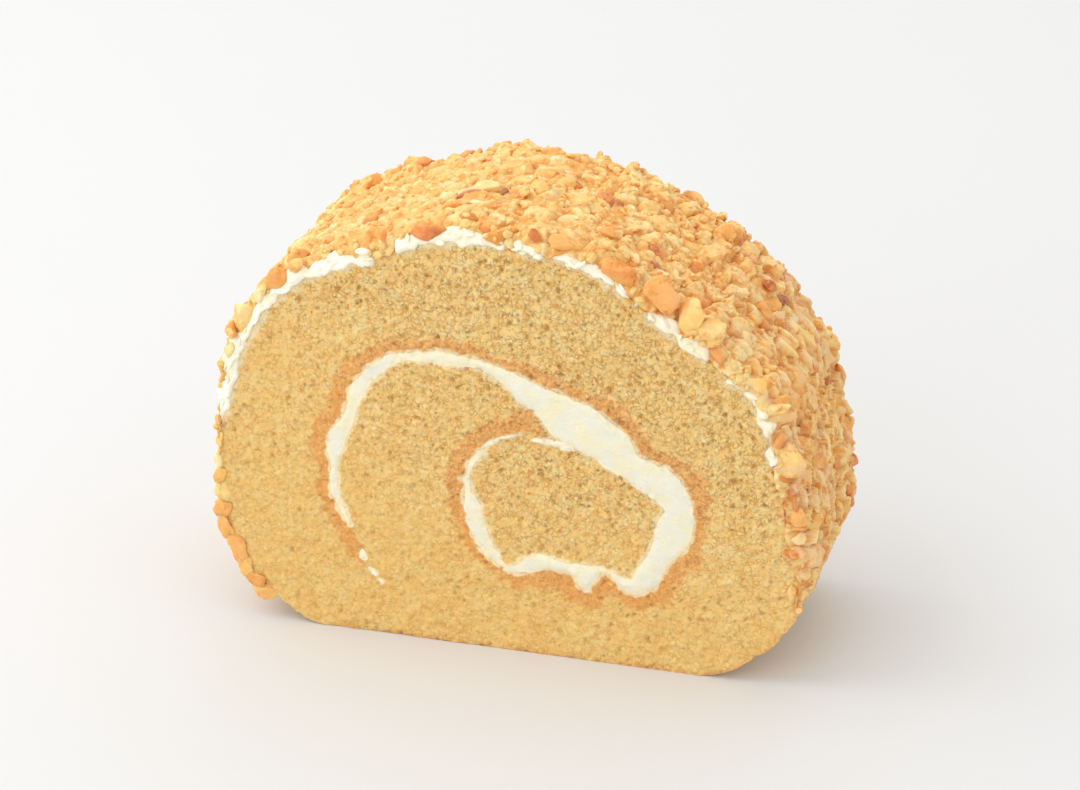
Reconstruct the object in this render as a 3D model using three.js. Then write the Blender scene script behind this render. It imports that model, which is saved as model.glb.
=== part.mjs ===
// Slice of swiss roll: a tan sponge sheet rolled round whipped cream, iced with a thin cream coat and
// crusted with chopped nuts. It stands on its flat base with a cut face to the front and one to the back.
// Units are millimetres, +Z up. X runs across the cut face, and Y from the front cut to the back cut.
// The origin is the middle of the base.
import * as THREE from "three";

// Driving dimensions
const SLICE_DEPTH = 35; // between the two cuts
const FIT_GAP = 0.3; // between layers that touch
const CREAM_COAT_TOP = 1.3; // icing over the top of the roll
const CREAM_COAT_SIDE = 0.5; // and where it thins out towards the base
const NUT_CRUST_TOP = 1.8; // nuts over the top of the roll,
const NUT_CRUST_RIGHT = 2.1; // down its right side,
const NUT_CRUST_LEFT = 0.8; // down its left side
const NUT_CRUST_END = 0.9; // and at the crust's lower right edge
const NUT_SIZE = 5.2; // spacing of the lumps in the crust
const NUT_RELIEF = 1.5; // how far the lumps stand out of it over the top
const COAT_END_LEFT = 2.4; // the icing and the crust stop this far above the base
const COAT_END_RIGHT = 12;
const SIDE_HEIGHT = 20; // the coats are as thin as on the sides up to here,
const SHOULDER_HEIGHT = 58; // and as thick as on the top from here
const EDGE_STEP = 2.2; // spacing of points round the roll
const SWIRL_STEP = 1.1; // spacing of points along the swirl
const LEAST_STEP = 0.6; // and the least, on the inside of its bends
const SHARPEST_CORNER = 0.5; // keeps the corner of an offset line from running far out
const QUARTER_STEPS = 24; // points round each quarter of the roll

// The roll's outline: four superelliptic quarters round these centres, over a flat base.
// Each quarter has its centre [x, z], its half axes and its exponent.
const OUTLINE = {
  lowerLeft: { centre: [-28, 20], axes: [15, 20], power: 1.9 },
  upperLeft: { centre: [-3, 20], axes: [40, 44.3], power: 2.4 },
  upperRight: { centre: [-3, 18], axes: [46, 46.3], power: 2.08 },
  lowerRight: { centre: [30, 18], axes: [13, 18], power: 1.9 },
};

// Places where the roll's outline is flatter or fuller than that: where, which way and how wide the
// push reaches.
const OUTLINE_DENTS = [
  { at: [-20, 62], push: [0.8, -1.9], reach: 6 },
  { at: [24, 56], push: [-0.7, -1.1], reach: 4 },
  { at: [38, 43], push: [1.5, 1.0], reach: 4.5 },
  { at: [-36, 4], push: [0.7, 1.0], reach: 4 },
  { at: [43, 12], push: [2.1, -0.6], reach: 5.5 },
];

// The cream swirl's centre line on the cut face, from its loose end low on the left, over the top, round
// the core and back to the fold: [x, z, thickness].
const SWIRL = [
  [-18.2, 8.6, 0.6],
  [-19.4, 10.8, 1.3],
  [-20.2, 12.2, 0.7],
  [-20.8, 13.6, 1.6],
  [-21.9, 15.6, 0.6],
  [-23.9, 19.2, 1.1],
  [-25.3, 22.8, 2.2],
  [-25.1, 27.6, 2.1],
  [-24.7, 31.2, 3.2],
  [-22.8, 34.6, 2.2],
  [-21.4, 38.9, 2.6],
  [-18.5, 43.0, 2.5],
  [-14.4, 45.6, 1.8],
  [-9.0, 45.9, 2.8],
  [-3.4, 45.7, 1.7],
  [0.8, 44.2, 2.8],
  [4.8, 41.6, 4.8],
  [9.0, 38.8, 7.4],
  [14.6, 36.6, 7.4],
  [19.4, 33.2, 6.4],
  [23.8, 30.4, 6.0],
  [26.5, 26.7, 5.2],
  [25.8, 22.4, 6.0],
  [23.8, 18.4, 4.1],
  [22.4, 15.4, 4.4],
  [20.2, 13.0, 3.0],
  [18.0, 14.0, 1.9],
  [16.0, 15.4, 1.0],
  [13.6, 14.5, 3.0],
  [9.8, 14.9, 1.9],
  [6.4, 15.3, 2.8],
  [3.2, 14.0, 2.9],
  [0.8, 13.9, 2.3],
  [-1.8, 16.4, 2.4],
  [-3.4, 20.2, 3.2],
  [-4.2, 24.0, 2.7],
  [-4.9, 27.0, 1.6],
  [-4.0, 30.0, 1.5],
  [-1.8, 32.8, 1.3],
  [0.8, 34.5, 0.9],
  [2.8, 35.5, 0.5],
];

// Places where the sheet creased as it was rolled and pushed the cream aside: where, which way and how
// wide the push reaches.
const CREASES = [
  { at: [13.4, 12.2], push: [-0.5, -2.6], reach: 1.1 },
  { at: [5.6, 37.6], push: [0.5, 1.2], reach: 1.6 },
  { at: [21.8, 35.4], push: [-0.7, -1.2], reach: 1.4 },
  { at: [24.4, 26.4], push: [0.6, 0.3], reach: 1.4 },
  { at: [2.0, 15.4], push: [0, -0.9], reach: 1.0 },
];

const COLOURS = {
  sponge: 0xd9a85c,
  cream: 0xf5efd6,
  nuts: 0xe0a04e,
};

// Points of one quarter as [x, z], from startAngle to endAngle in degrees above the horizontal.
function quarterPoints({ centre, axes, power }, side, up, startAngle, endAngle) {
  const points = [];
  for (let i = 0; i <= QUARTER_STEPS; i++) {
    const angle = THREE.MathUtils.degToRad(
      startAngle + ((endAngle - startAngle) * i) / QUARTER_STEPS,
    );
    const across = Math.abs(Math.cos(angle)) ** (2 / power);
    const high = Math.abs(Math.sin(angle)) ** (2 / power);
    points.push(
      new THREE.Vector2(centre[0] + side * axes[0] * across, centre[1] + up * axes[1] * high),
    );
  }
  return points;
}

// Evenly spaced points along a line of points.
function resampled(points, step) {
  const path = new THREE.CurvePath();
  for (let i = 1; i < points.length; i++) {
    if (points[i].distanceTo(points[i - 1]) > 1e-6) {
      path.add(new THREE.LineCurve(points[i - 1], points[i]));
    }
  }
  return path.getSpacedPoints(Math.round(path.getLength() / step));
}

// The sponge's outline from the left end of its base, clockwise over the top, to the right end.
function rollOutline() {
  const round = [
    ...quarterPoints(OUTLINE.lowerLeft, -1, -1, 90, 0),
    ...quarterPoints(OUTLINE.upperLeft, -1, 1, 0, 90),
    ...quarterPoints(OUTLINE.upperRight, 1, 1, 90, 0),
    ...quarterPoints(OUTLINE.lowerRight, 1, -1, 0, 90),
  ];
  return resampled(
    round.map((p) => pushed(p, OUTLINE_DENTS)),
    EDGE_STEP,
  );
}

// A line of points moved to the left of its direction, or a closed loop of them; distance may be a
// function of the point. A corner moves out to where its two sides meet again.
function offsetLine(points, distance, closed = false) {
  const count = points.length;
  const sideNormal = (i) => {
    const from = points[closed ? (i + count) % count : THREE.MathUtils.clamp(i, 0, count - 2)];
    const to = points[closed ? (i + count + 1) % count : THREE.MathUtils.clamp(i, 0, count - 2) + 1];
    const along = to.clone().sub(from).normalize();
    return new THREE.Vector2(-along.y, along.x);
  };
  return points.map((point, i) => {
    const before = sideNormal(i - 1);
    const after = sideNormal(i);
    const moved = typeof distance === "function" ? distance(point) : distance;
    const corner = Math.max(1 + before.dot(after), SHARPEST_CORNER);
    return before.add(after).multiplyScalar(moved / corner).add(point);
  });
}

// A point moved by every push that reaches it.
function pushed(point, pushes) {
  const moved = point.clone();
  for (const { at, push, reach } of pushes) {
    const share = Math.exp(-point.distanceToSquared(new THREE.Vector2(...at)) / (2 * reach * reach));
    moved.add(new THREE.Vector2(...push).multiplyScalar(share));
  }
  return moved;
}

// The closed outline of the swirl's cream, clockwise: out along its outer side and back along its inner.
function swirlOutline() {
  const curve = new THREE.CatmullRomCurve3(
    SWIRL.map(([x, z, thickness]) => new THREE.Vector3(x, z, thickness)),
    false,
    "centripetal",
  );
  const stations = curve.getSpacedPoints(Math.round(curve.getLength() / SWIRL_STEP));
  const centreLine = stations.map((s) => new THREE.Vector2(s.x, s.y));
  const left = offsetLine(centreLine, 1);
  const side = (sign) =>
    centreLine.map((p, i) => {
      const out = left[i].clone().sub(p).setLength((sign * stations[i].z) / 2);
      return pushed(out.add(p), CREASES);
    });
  const loop = [];
  for (const p of [...side(1), ...side(-1).reverse()]) {
    if (!loop.length || p.distanceTo(loop.at(-1)) > LEAST_STEP) {
      loop.push(p);
    }
  }
  return loop;
}

// A share from 0 on the sides to 1 over the top of the roll.
function heightShare(point) {
  return THREE.MathUtils.smoothstep(point.y, SIDE_HEIGHT, SHOULDER_HEIGHT);
}

function creamCoatThickness(point) {
  return THREE.MathUtils.lerp(CREAM_COAT_SIDE, CREAM_COAT_TOP, heightShare(point));
}

function nutCrustThickness(point) {
  const right = THREE.MathUtils.lerp(
    NUT_CRUST_END,
    NUT_CRUST_RIGHT,
    THREE.MathUtils.smoothstep(point.y, COAT_END_RIGHT, 2 * COAT_END_RIGHT),
  );
  const side = point.x < 0 ? NUT_CRUST_LEFT : right;
  return THREE.MathUtils.lerp(side, NUT_CRUST_TOP, heightShare(point));
}

// A repeatable number from 0 to 1 for a cell of the crust.
function scatter(column, row, salt) {
  const wave = Math.sin(column * 127.1 + row * 311.7 + salt * 74.7) * 43758.5453;
  return wave - Math.floor(wave);
}

// How far the nuts stand out at a place along the crust and through the slice: each cell of NUT_SIZE
// holds one rounded lump, set off its middle.
function nutRelief(along, through) {
  const column = Math.floor(along / NUT_SIZE);
  const row = Math.floor(through / NUT_SIZE);
  let highest = 0;
  for (let i = column - 1; i <= column + 1; i++) {
    for (let j = row - 1; j <= row + 1; j++) {
      const x = (i + 0.25 + 0.5 * scatter(i, j, 1)) * NUT_SIZE;
      const y = (j + 0.25 + 0.5 * scatter(i, j, 2)) * NUT_SIZE;
      const radius = NUT_SIZE * (0.6 + 0.3 * scatter(i, j, 3));
      const fall = 1 - Math.hypot(along - x, through - y) / radius;
      highest = Math.max(highest, Math.sqrt(Math.max(fall, 0)) * (0.5 + 0.5 * scatter(i, j, 4)));
    }
  }
  return highest * NUT_RELIEF;
}

// A solid from the front cut to the back one, from a closed outline in X and Z that runs clockwise, and
// a hole's outline that runs the same way.
function sliceSolid(outline, hole) {
  const shape = new THREE.Shape([...outline].reverse());
  if (hole) {
    shape.holes.push(new THREE.Path(hole));
  }
  const geometry = new THREE.ExtrudeGeometry(shape, { depth: SLICE_DEPTH, bevelEnabled: false });
  geometry.rotateX(Math.PI / 2); // the shape's y becomes Z, and its depth runs towards -Y
  geometry.translate(0, SLICE_DEPTH / 2, 0);
  return geometry;
}

// The crust as a closed shell: a smooth inner face against the icing, and an uneven outer one.
function nutCrust(line) {
  const rows = Math.round(SLICE_DEPTH / EDGE_STEP);
  const inner = offsetLine(line, (p) => 2 * FIT_GAP + creamCoatThickness(p));
  const positions = [];
  const faces = [];
  const layer = 2 * (rows + 1); // vertices at each point along the line: the inner row, then the outer
  line.forEach((point, i) => {
    const crust = nutCrustThickness(point);
    const relief = crust / NUT_CRUST_TOP; // a thin crust is less uneven
    for (const outer of [false, true]) {
      for (let j = 0; j <= rows; j++) {
        const y = -SLICE_DEPTH / 2 + (SLICE_DEPTH * j) / rows;
        const rise = outer ? crust + relief * (nutRelief(i * EDGE_STEP, y) - NUT_RELIEF / 2) : 0;
        const out = offsetLine(inner.slice(Math.max(i - 1, 0), i + 2), rise)[Math.min(i, 1)];
        positions.push(out.x, y, out.y);
      }
    }
  });
  const quad = (a, b, c, d) => faces.push(a, b, c, a, c, d);
  const at = (i, outer, j) => i * layer + (outer ? rows + 1 : 0) + j;
  const last = line.length - 1;
  for (let i = 0; i < last; i++) {
    for (let j = 0; j < rows; j++) {
      quad(at(i, true, j), at(i + 1, true, j), at(i + 1, true, j + 1), at(i, true, j + 1));
      quad(at(i, false, j), at(i, false, j + 1), at(i + 1, false, j + 1), at(i + 1, false, j));
    }
    quad(at(i, false, 0), at(i + 1, false, 0), at(i + 1, true, 0), at(i, true, 0));
    quad(at(i, false, rows), at(i, true, rows), at(i + 1, true, rows), at(i + 1, false, rows));
  }
  for (let j = 0; j < rows; j++) {
    quad(at(0, false, j), at(0, true, j), at(0, true, j + 1), at(0, false, j + 1));
    quad(at(last, false, j), at(last, false, j + 1), at(last, true, j + 1), at(last, true, j));
  }
  const geometry = new THREE.BufferGeometry();
  geometry.setAttribute("position", new THREE.Float32BufferAttribute(positions, 3));
  geometry.setIndex(faces);
  geometry.computeVertexNormals();
  return geometry;
}

function piece(name, geometry, colour, roughness) {
  const material = new THREE.MeshStandardMaterial({ color: colour, roughness, metalness: 0 });
  const mesh = new THREE.Mesh(geometry, material);
  mesh.name = name;
  return mesh;
}

const outline = rollOutline();
const swirl = swirlOutline();
const channel = offsetLine(swirl, FIT_GAP, true);
const coated = outline.filter((p) => p.y > (p.x < 0 ? COAT_END_LEFT : COAT_END_RIGHT));
const coatInner = offsetLine(coated, FIT_GAP);
const coatOuter = offsetLine(coated, (p) => FIT_GAP + creamCoatThickness(p));

const slice = new THREE.Group();
slice.add(piece("sponge", sliceSolid(outline, channel), COLOURS.sponge, 0.95));
slice.add(piece("cream_filling", sliceSolid(swirl), COLOURS.cream, 0.55));
slice.add(piece("cream_coat", sliceSolid([...coatInner, ...coatOuter.reverse()]), COLOURS.cream, 0.6));
slice.add(piece("nut_crust", nutCrust(coated), COLOURS.nuts, 0.7));

// The origin goes to the middle of the base.
const box = new THREE.Box3().setFromObject(slice);
const middle = box.getCenter(new THREE.Vector3());
slice.position.set(-middle.x, -middle.y, -box.min.z);

export default slice;
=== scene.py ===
"""A slice of swiss roll: open crumb, a browned skin along the swirl, whipped cream and chopped nuts.

Lengths are in millimetres up to mesh_object(), which turns them into Blender's metres. X runs across
the cut face, Y from the front cut to the back one, and Z up from the flat base.
"""

import math
from itertools import product

import bpy
import numpy as np
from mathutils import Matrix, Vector
from mathutils.bvhtree import BVHTree
from mathutils.geometry import delaunay_2d_cdt
from mathutils.kdtree import KDTree


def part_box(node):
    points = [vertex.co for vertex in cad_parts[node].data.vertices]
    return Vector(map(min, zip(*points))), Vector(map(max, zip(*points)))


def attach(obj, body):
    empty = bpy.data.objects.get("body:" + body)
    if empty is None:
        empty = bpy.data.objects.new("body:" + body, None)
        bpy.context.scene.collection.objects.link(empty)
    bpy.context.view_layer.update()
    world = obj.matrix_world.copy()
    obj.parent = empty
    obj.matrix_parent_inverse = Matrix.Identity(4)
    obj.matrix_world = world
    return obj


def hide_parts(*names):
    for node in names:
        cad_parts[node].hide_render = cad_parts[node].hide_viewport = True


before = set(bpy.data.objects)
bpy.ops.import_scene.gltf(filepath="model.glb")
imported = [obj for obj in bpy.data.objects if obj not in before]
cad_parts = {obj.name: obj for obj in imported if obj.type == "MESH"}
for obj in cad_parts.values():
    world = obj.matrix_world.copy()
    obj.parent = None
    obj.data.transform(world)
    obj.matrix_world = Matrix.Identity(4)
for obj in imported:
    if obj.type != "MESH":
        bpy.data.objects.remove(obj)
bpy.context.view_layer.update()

MM = 0.001
SEED = 20
LATTICE = 32  # random numbers each way in the noise, before it repeats
CELL_TABLE = 64  # and cells each way
LINE_STEP = 0.12  # how closely a line is followed to find distances to it
AROUND = (-1, 0, 1)
GRID_JITTER = 0.16  # share of their spacing by which the vertices on a cut are out of line
GRID_ROOM = 0.55  # and share of it that they keep from the cut's edge

# The slice
HALF_DEPTH = 1000 * (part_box("sponge")[1].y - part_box("sponge")[0].y) / 2
COAT_END_LEFT = 2.6  # the icing and the nuts stop here, above the base
COAT_END_RIGHT = 11.0
END_WAVE = 3.0  # how unevenly they stop there
SKIN_WIDTH = 3.0  # browned skin of the sheet, along the swirl's outer side
FRONT_STEP = 0.31  # spacing of the vertices on the front cut
BACK_STEP = 0.42
CREAM_STEP = 0.36  # on the cream
EDGE_STEP = 0.36  # and round the cuts
WALL_STEP = 1.6  # spacing through the slice
FRONT_SEED, BACK_SEED = 100, 200  # of the crumb's unevenness on each cut
EDGE_ROWS = 5  # rows of vertices down the cut edge of the icing and of the nuts
ICING_STEP = 0.36  # spacing of the vertices round the roll, in the icing
BED_STEP = 0.31  # and in the bed of nuts
BED_ROWS = 108  # rows of vertices through the slice there
GRAIN, PORE = 0.92, 2.0  # sizes of the crumb's grains and of the cells that hold its pores
CHUNK, BIT = 3.3, 1.1  # sizes of the bed's large chunks and of its small crumbs

# Thicknesses of the icing and the nuts away from the cuts
COAT_LOW, COAT_HIGH = 0.45, 1.20  # of the icing, at the foot and on top
LEFT_CRUST = 1.4  # of the nuts, on the left
BARE_LEFT = 1.0  # how much less it is there where they are barest
RIGHT_CRUST, RIGHT_MORE = 0.9, 1.2  # on the right at the foot, and how much more it is above that
TOP_CRUST = 1.30
SHOULDER_CRUST, SHOULDER_MORE = 0.8, 0.9  # more on the right shoulder, in front and behind
SHOULDER_X, SHOULDER_REACH = 26, 7.0
SLIM_Z, SLIM_REACH, SLIM_SHARE = 46, 8.5, 0.55  # and less again below it, at the back

# Landmarks on the front cut, as x and z
TAIL_END = (-19.2, 8.6)  # the loose end of the sheet's inner side
CREAM_TAIL = 18.2  # the cream runs out this high above the base, on its way to that end
SKIN_TAIL = (-22.4, 13.6)  # and the browned skin runs on to here
BRIDGE_END = (1.8, 35.5)  # and its end at the fold, where the core joins the sheet

# The icing's thickness at the front cut, from the lower left over the top: x, z and thickness.
ICING = (
    (-40.0, 6.0, 0.10),
    (-44.0, 18.0, 0.30),
    (-44.0, 29.0, 0.35),
    (-43.2, 33.0, 0.60),
    (-42.5, 36.5, 1.60),
    (-40.0, 41.4, 2.30),
    (-37.0, 48.4, 1.20),
    (-35.0, 51.8, 1.60),
    (-28.4, 58.5, 1.90),
    (-24.0, 60.8, 1.90),
    (-16.6, 62.7, 1.40),
    (-11.2, 64.0, 1.50),
    (-6.0, 64.6, 2.10),
    (-0.7, 64.5, 0.80),
    (3.6, 64.4, 1.60),
    (6.4, 63.9, 0.80),
    (9.0, 63.4, 1.60),
    (12.6, 62.4, 1.50),
    (14.8, 61.6, 1.20),
    (16.6, 60.8, 0.45),
    (18.6, 59.8, 1.30),
    (20.2, 58.9, 0.90),
    (21.6, 58.0, 0.40),
    (23.4, 56.8, 1.30),
    (25.4, 55.3, 1.50),
    (26.4, 54.4, 0.60),
    (27.6, 53.2, 1.70),
    (29.6, 51.6, 1.20),
    (30.2, 51.0, 0.40),
    (31.6, 50.4, 0.80),
    (33.0, 49.4, 0.30),
    (34.4, 48.0, 0.90),
    (35.2, 47.2, 0.35),
    (36.6, 45.8, 1.20),
    (37.4, 44.4, 0.50),
    (38.6, 42.0, 2.10),
    (39.6, 38.6, 2.00),
    (40.4, 35.4, 1.20),
    (41.0, 32.0, 0.30),
    (43.5, 14.0, 0.10),
)

# Browned places on the cut: x and z, reach and how brown.
SKIN_SPOTS = (
    ((2.8, 38.2), 2.4, 0.95),
    ((5.2, 37.2), 2.1, 0.95),
    ((0.0, 36.4), 1.7, 0.80),
    ((-3.6, 26.9), 1.3, 0.60),
    ((-27.2, 19.6), 1.5, 0.90),
    ((-26.2, 17.8), 1.5, 0.90),
    ((-24.6, 15.9), 1.4, 0.90),
    ((-23.5, 14.4), 1.3, 0.85),
    ((-22.6, 13.6), 1.0, 0.80),
    ((-1.6, 32.4), 0.9, 0.70),
    ((1.0, 33.4), 1.0, 0.60),
    ((4.4, 33.9), 1.0, 0.75),
    ((6.2, 33.8), 0.9, 0.70),
    ((14.9, 13.4), 1.8, 0.95),
    ((16.8, 12.4), 1.6, 0.80),
    ((9.0, 33.2), 1.2, 0.50),
    ((19.0, 31.0), 1.0, 0.40),
)

# Streaks of cream along the fold and after the swirl's end: x, z, length, width and angle.
STREAKS = (
    (-22.0, 12.6, 1.6, 1.10, 100),
    (-20.5, 10.1, 1.7, 0.60, 138),
    (-19.3, 8.7, 1.0, 0.42, 150),
    (-2.0, 33.6, 3.6, 0.50, 32),
    (0.6, 34.8, 2.8, 0.26, 18),
    (5.9, 34.7, 3.4, 0.75, -5),
    (8.6, 34.3, 3.2, 1.10, -10),
)
STREAK_THICKNESS = 0.12
STREAK_EDGE = 0.45  # how much of the cream's edge colour they have
# the icing's share of it down the right side is painted shade
ICING_RIGHT_SHADE = 0.40  # and how much of it the icing has down the right side

CREAM_INSET = 0.34  # how far the cream is drawn in all round
CREAM_MOST = 0.42  # but never by more than this share of its width, on each side
CREAM_TIP = 6.2  # how much of its thin end at the fold is streaks instead
# Where the cream is thinner still, or wider where the amount is below 0: x and z, amount and reach
PINCHES = (
    ((-13.1, 47.8), 0.40, 3.0),
    ((-9.7, 43.0), 0.30, 2.6),
    ((-21.9, 43.2), 0.15, 3.0),
    ((-28.0, 25.0), 0.35, 3.5),
    ((-4.2, 27.0), 1.00, 2.2),
    ((-2.4, 21.4), 0.35, 2.0),
    ((-1.3, 13.6), 0.55, 1.8),
    ((3.2, 11.8), 0.35, 1.8),
    ((15.6, 16.4), 0.30, 1.3),
    ((15.2, 12.6), 0.30, 1.3),
    ((20.2, 19.7), 0.40, 3.0),
    ((25.4, 15.4), 0.60, 1.6),
    ((22.7, 34.2), 0.60, 1.4),
    ((20.5, 36.6), -0.80, 1.1),
    ((16.3, 39.0), 0.30, 3.0),
    ((8.0, 33.2), 0.40, 2.2),
    ((17.2, 29.0), 0.50, 2.2),
)

# Nut pieces that stand out: kind, x and z on the roll, depth behind the front cut, length, width,
# thickness, and the angle of its length from the line round the roll.
LANDMARKS = (
    ("amber", 9.4, 62.6, 19.8, 3.8, 3.4, 2.0, 30),
    ("pale", 31.5, 48.8, 6.8, 3.8, 3.2, 2.0, 40),
    ("toasted", 31.7, 48.6, 18.2, 4.0, 3.2, 2.0, 70),
    ("amber", 42.6, 20.4, 34.2, 3.4, 2.4, 1.8, 60),
    ("skins", -8.1, 64.1, 12.0, 3.6, 1.3, 1.3, 15),
    ("pale", -6.4, 64.2, 14.5, 4.4, 3.2, 2.2, 20),
    ("skins", -3.9, 64.4, 13.4, 2.2, 0.9, 1.2, 70),
    ("pale", -17.4, 61.1, 28.6, 4.0, 3.0, 2.2, 0),
    ("toasted", -12.8, 63.1, 23.2, 3.4, 2.4, 1.8, 70),
    ("amber", -20.5, 59.8, 32.0, 2.8, 2.4, 1.6, 0),
    ("amber", -14.5, 62.4, 33.0, 3.4, 2.2, 1.8, 40),
    ("toasted", -19.2, 60.3, 3.0, 3.4, 1.8, 1.4, 0),
    ("amber", -3.3, 64.4, 24.2, 2.2, 1.8, 1.4, 0),
    ("amber", 25.1, 53.5, 6.6, 2.4, 2.0, 1.4, 0),
    ("amber", 27.7, 51.6, 26.5, 2.2, 1.8, 1.2, 0),
    ("amber", 30.9, 49.3, 23.2, 2.8, 2.0, 1.4, 60),
    ("skins", 32.8, 47.7, 23.8, 2.2, 1.6, 1.2, 0),
    ("amber", 32.5, 48.0, 29.5, 2.6, 2.0, 1.4, 40),
    ("amber", 17.6, 58.8, 12.8, 3.2, 2.6, 1.6, 80),
    ("skins", 18.1, 58.4, 8.0, 2.4, 1.1, 1.0, 0),
    ("toasted", 39.2, 35.4, 32.6, 2.8, 2.0, 1.4, 0),
    ("pale", 31.7, 48.6, 3.4, 3.0, 2.6, 1.8, 60),
    ("amber", 43.2, 18.3, 28.5, 4.0, 2.4, 1.5, 0),
    ("skins", 43.3, 15.5, 19.0, 1.8, 1.4, 1.0, 0),
    ("toasted", 43.2, 18.3, 5.0, 2.4, 1.8, 1.2, 60),
    ("amber", 41.2, 26.8, 19.2, 2.6, 1.8, 1.2, 20),
    ("toasted", 12.2, 61.9, 8.4, 2.6, 2.0, 1.3, 30),
    ("toasted", 28.3, 51.1, 13.5, 2.8, 1.9, 1.3, 30),
    ("pale", 42.0, 22.7, 13.5, 3.4, 1.8, 1.4, 10),
    ("pale", 40.2, 31.0, 25.0, 3.6, 2.0, 1.5, 80),
    ("amber", 37.0, 41.0, 20.0, 2.4, 1.8, 1.2, 60),
)
# Nut pieces in the cut edge of the crust, flat side to the front: kind, x and z, length, width,
# thickness, and the angle of its length from level.
FACING = (
    ("pale", -39.8, 48.9, 4.1, 3.9, 2.6, 20),
    ("toasted", -34.3, 55.6, 3.3, 2.7, 1.8, 50),
    ("toasted", -31.1, 57.9, 2.3, 2.0, 1.6, 30),
    ("golden", -43.2, 40.9, 1.3, 1.1, 1.0, 0),
    ("pale", -41.7, 43.4, 2.2, 1.5, 1.4, 60),
    ("pale", -36.9, 52.5, 2.4, 1.6, 1.4, 50),
    ("pale", -43.9, 28.6, 2.4, 1.2, 1.0, 75),
    ("pale", -44.3, 25.6, 3.2, 1.4, 1.2, 95),
    ("golden", -44.2, 22.9, 3.0, 1.7, 1.0, 80),
    ("golden", -44.0, 20.2, 4.0, 2.3, 1.2, 86),
    ("toasted", -44.1, 17.3, 3.4, 2.5, 1.2, 80),
    ("toasted", -43.6, 14.6, 3.6, 2.3, 1.0, -75),
    ("toasted", -42.0, 11.0, 5.2, 3.0, 1.6, -54),
    ("golden", -40.9, 8.2, 3.6, 2.7, 1.2, -50),
    ("toasted", -39.0, 6.5, 3.6, 2.5, 1.0, -34),
    ("toasted", -37.5, 4.3, 3.8, 2.6, 1.6, -20),
    ("toasted", -18.5, 64.6, 1.4, 1.0, 1.0, 0),
    ("amber", -11.0, 65.0, 4.5, 2.5, 1.8, 6),
    ("amber", 4.3, 66.3, 1.9, 1.6, 1.2, 80),
    ("toasted", 8.6, 65.4, 4.4, 2.4, 1.8, -4),
    ("toasted", 17.3, 62.7, 5.6, 2.8, 2.0, -12),
    ("toasted", 23.1, 59.8, 6.2, 2.9, 2.0, -22),
    ("golden", 27.6, 57.4, 4.2, 3.2, 1.8, -30),
    ("pale", 30.2, 55.3, 3.4, 3.0, 1.6, -50),
    ("golden", 30.0, 53.6, 2.6, 2.2, 1.4, -30),
    ("golden", 37.1, 47.5, 2.4, 1.5, 1.2, -60),
    ("golden", 38.5, 43.6, 5.2, 1.8, 1.4, 20),
    ("golden", 41.8, 36.4, 4.9, 3.8, 1.6, 80),
    ("skins", 43.0, 32.2, 1.1, 0.7, 0.8, 10),
    ("toasted", 43.2, 27.6, 2.9, 2.6, 1.6, 70),
    ("amber", 43.0, 26.0, 2.0, 1.0, 1.2, 0),
    ("toasted", 42.7, 22.0, 3.2, 2.0, 1.4, 0),
    ("pale", 43.4, 24.4, 2.0, 1.8, 1.2, 0),
    ("golden", 42.6, 15.6, 2.2, 1.2, 1.0, 80),
)
FACING_PROUD = 0.45  # how far these stand in front of the cut
FACING_CARRIED = 1.2  # and how far behind it the crust that carries them is looked for
RAY_START = 9.0  # how far out the crust is looked at from
BARE_SEAT = 0.6  # how high over the sponge a nut sits where there is no crust under it
NUTS_LOWEST = 0.05  # no nut reaches lower than this above the base
NUT_CREASE = 28  # edges of the nuts bent by more than this many degrees are sharp
BED_CREASE = 40  # and those of the bed

# Colours, as linear red, green and blue
CRUMB_LIGHT = (1.0, 0.80, 0.40)
CRUMB_MID = (0.975, 0.67, 0.25)
CRUMB_WARM = (0.975, 0.61, 0.22)
# painted shade in the crumb's pores and in the creases between its grains
CRUMB_PAINTED_SHADE = (0.61, 0.275, 0.05)
EVEN_TINT = (0.85, 0.80, 0.70)  # which evens out the light of the crumb's even places
SKIN_BROWN = (0.98, 0.54, 0.20)
SKIN_DARK = (0.89, 0.39, 0.105)
# painted shade in the pits and creases of the browned skin
SKIN_PAINTED_SHADE = (0.50, 0.15, 0.035)
CREAM_WHITE = (0.85, 0.825, 0.685)
CREAM_SHADE = (0.89, 0.82, 0.57)
ICING_WHITE = (0.98, 0.94, 0.79)
# FRINGE is also painted shade on the icing down the right side
FRINGE = (0.96, 0.82, 0.52)  # crumb with cream rubbed into it, and the cream's thin edge
FLOOR_WHITE = (0.735, 0.737, 0.737)

# Nuts: light, middle, dark and crevice tones of each kind. The crevice tone is painted shade low on the
# pieces and between them, and also the colour of roasted patches
NUT_TONES = {
    "pale": ((0.98, 0.82, 0.45), (0.96, 0.715, 0.325), (0.93, 0.59, 0.20), (0.88, 0.40, 0.09)),
    "golden": ((0.96, 0.70, 0.285), (0.93, 0.58, 0.185), (0.89, 0.45, 0.11), (0.80, 0.31, 0.062)),
    "toasted": ((0.95, 0.58, 0.20), (0.91, 0.46, 0.135), (0.84, 0.35, 0.085), (0.64, 0.21, 0.042)),
    "amber": ((0.87, 0.40, 0.13), (0.81, 0.31, 0.09), (0.68, 0.22, 0.06), (0.42, 0.11, 0.03)),
    "skins": ((0.74, 0.38, 0.20), (0.60, 0.25, 0.12), (0.44, 0.15, 0.07), (0.28, 0.08, 0.03)),
}
# the bed's tones in the same order; its crevice tone is painted shade in the bed's hollows
BED_TONES = ((0.97, 0.75, 0.35), (0.94, 0.605, 0.215), (0.87, 0.42, 0.105), (0.76, 0.29, 0.055))
NUT_TAN = (0.88, 0.60, 0.34)  # the duller patches of the nuts down the right side

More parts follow.
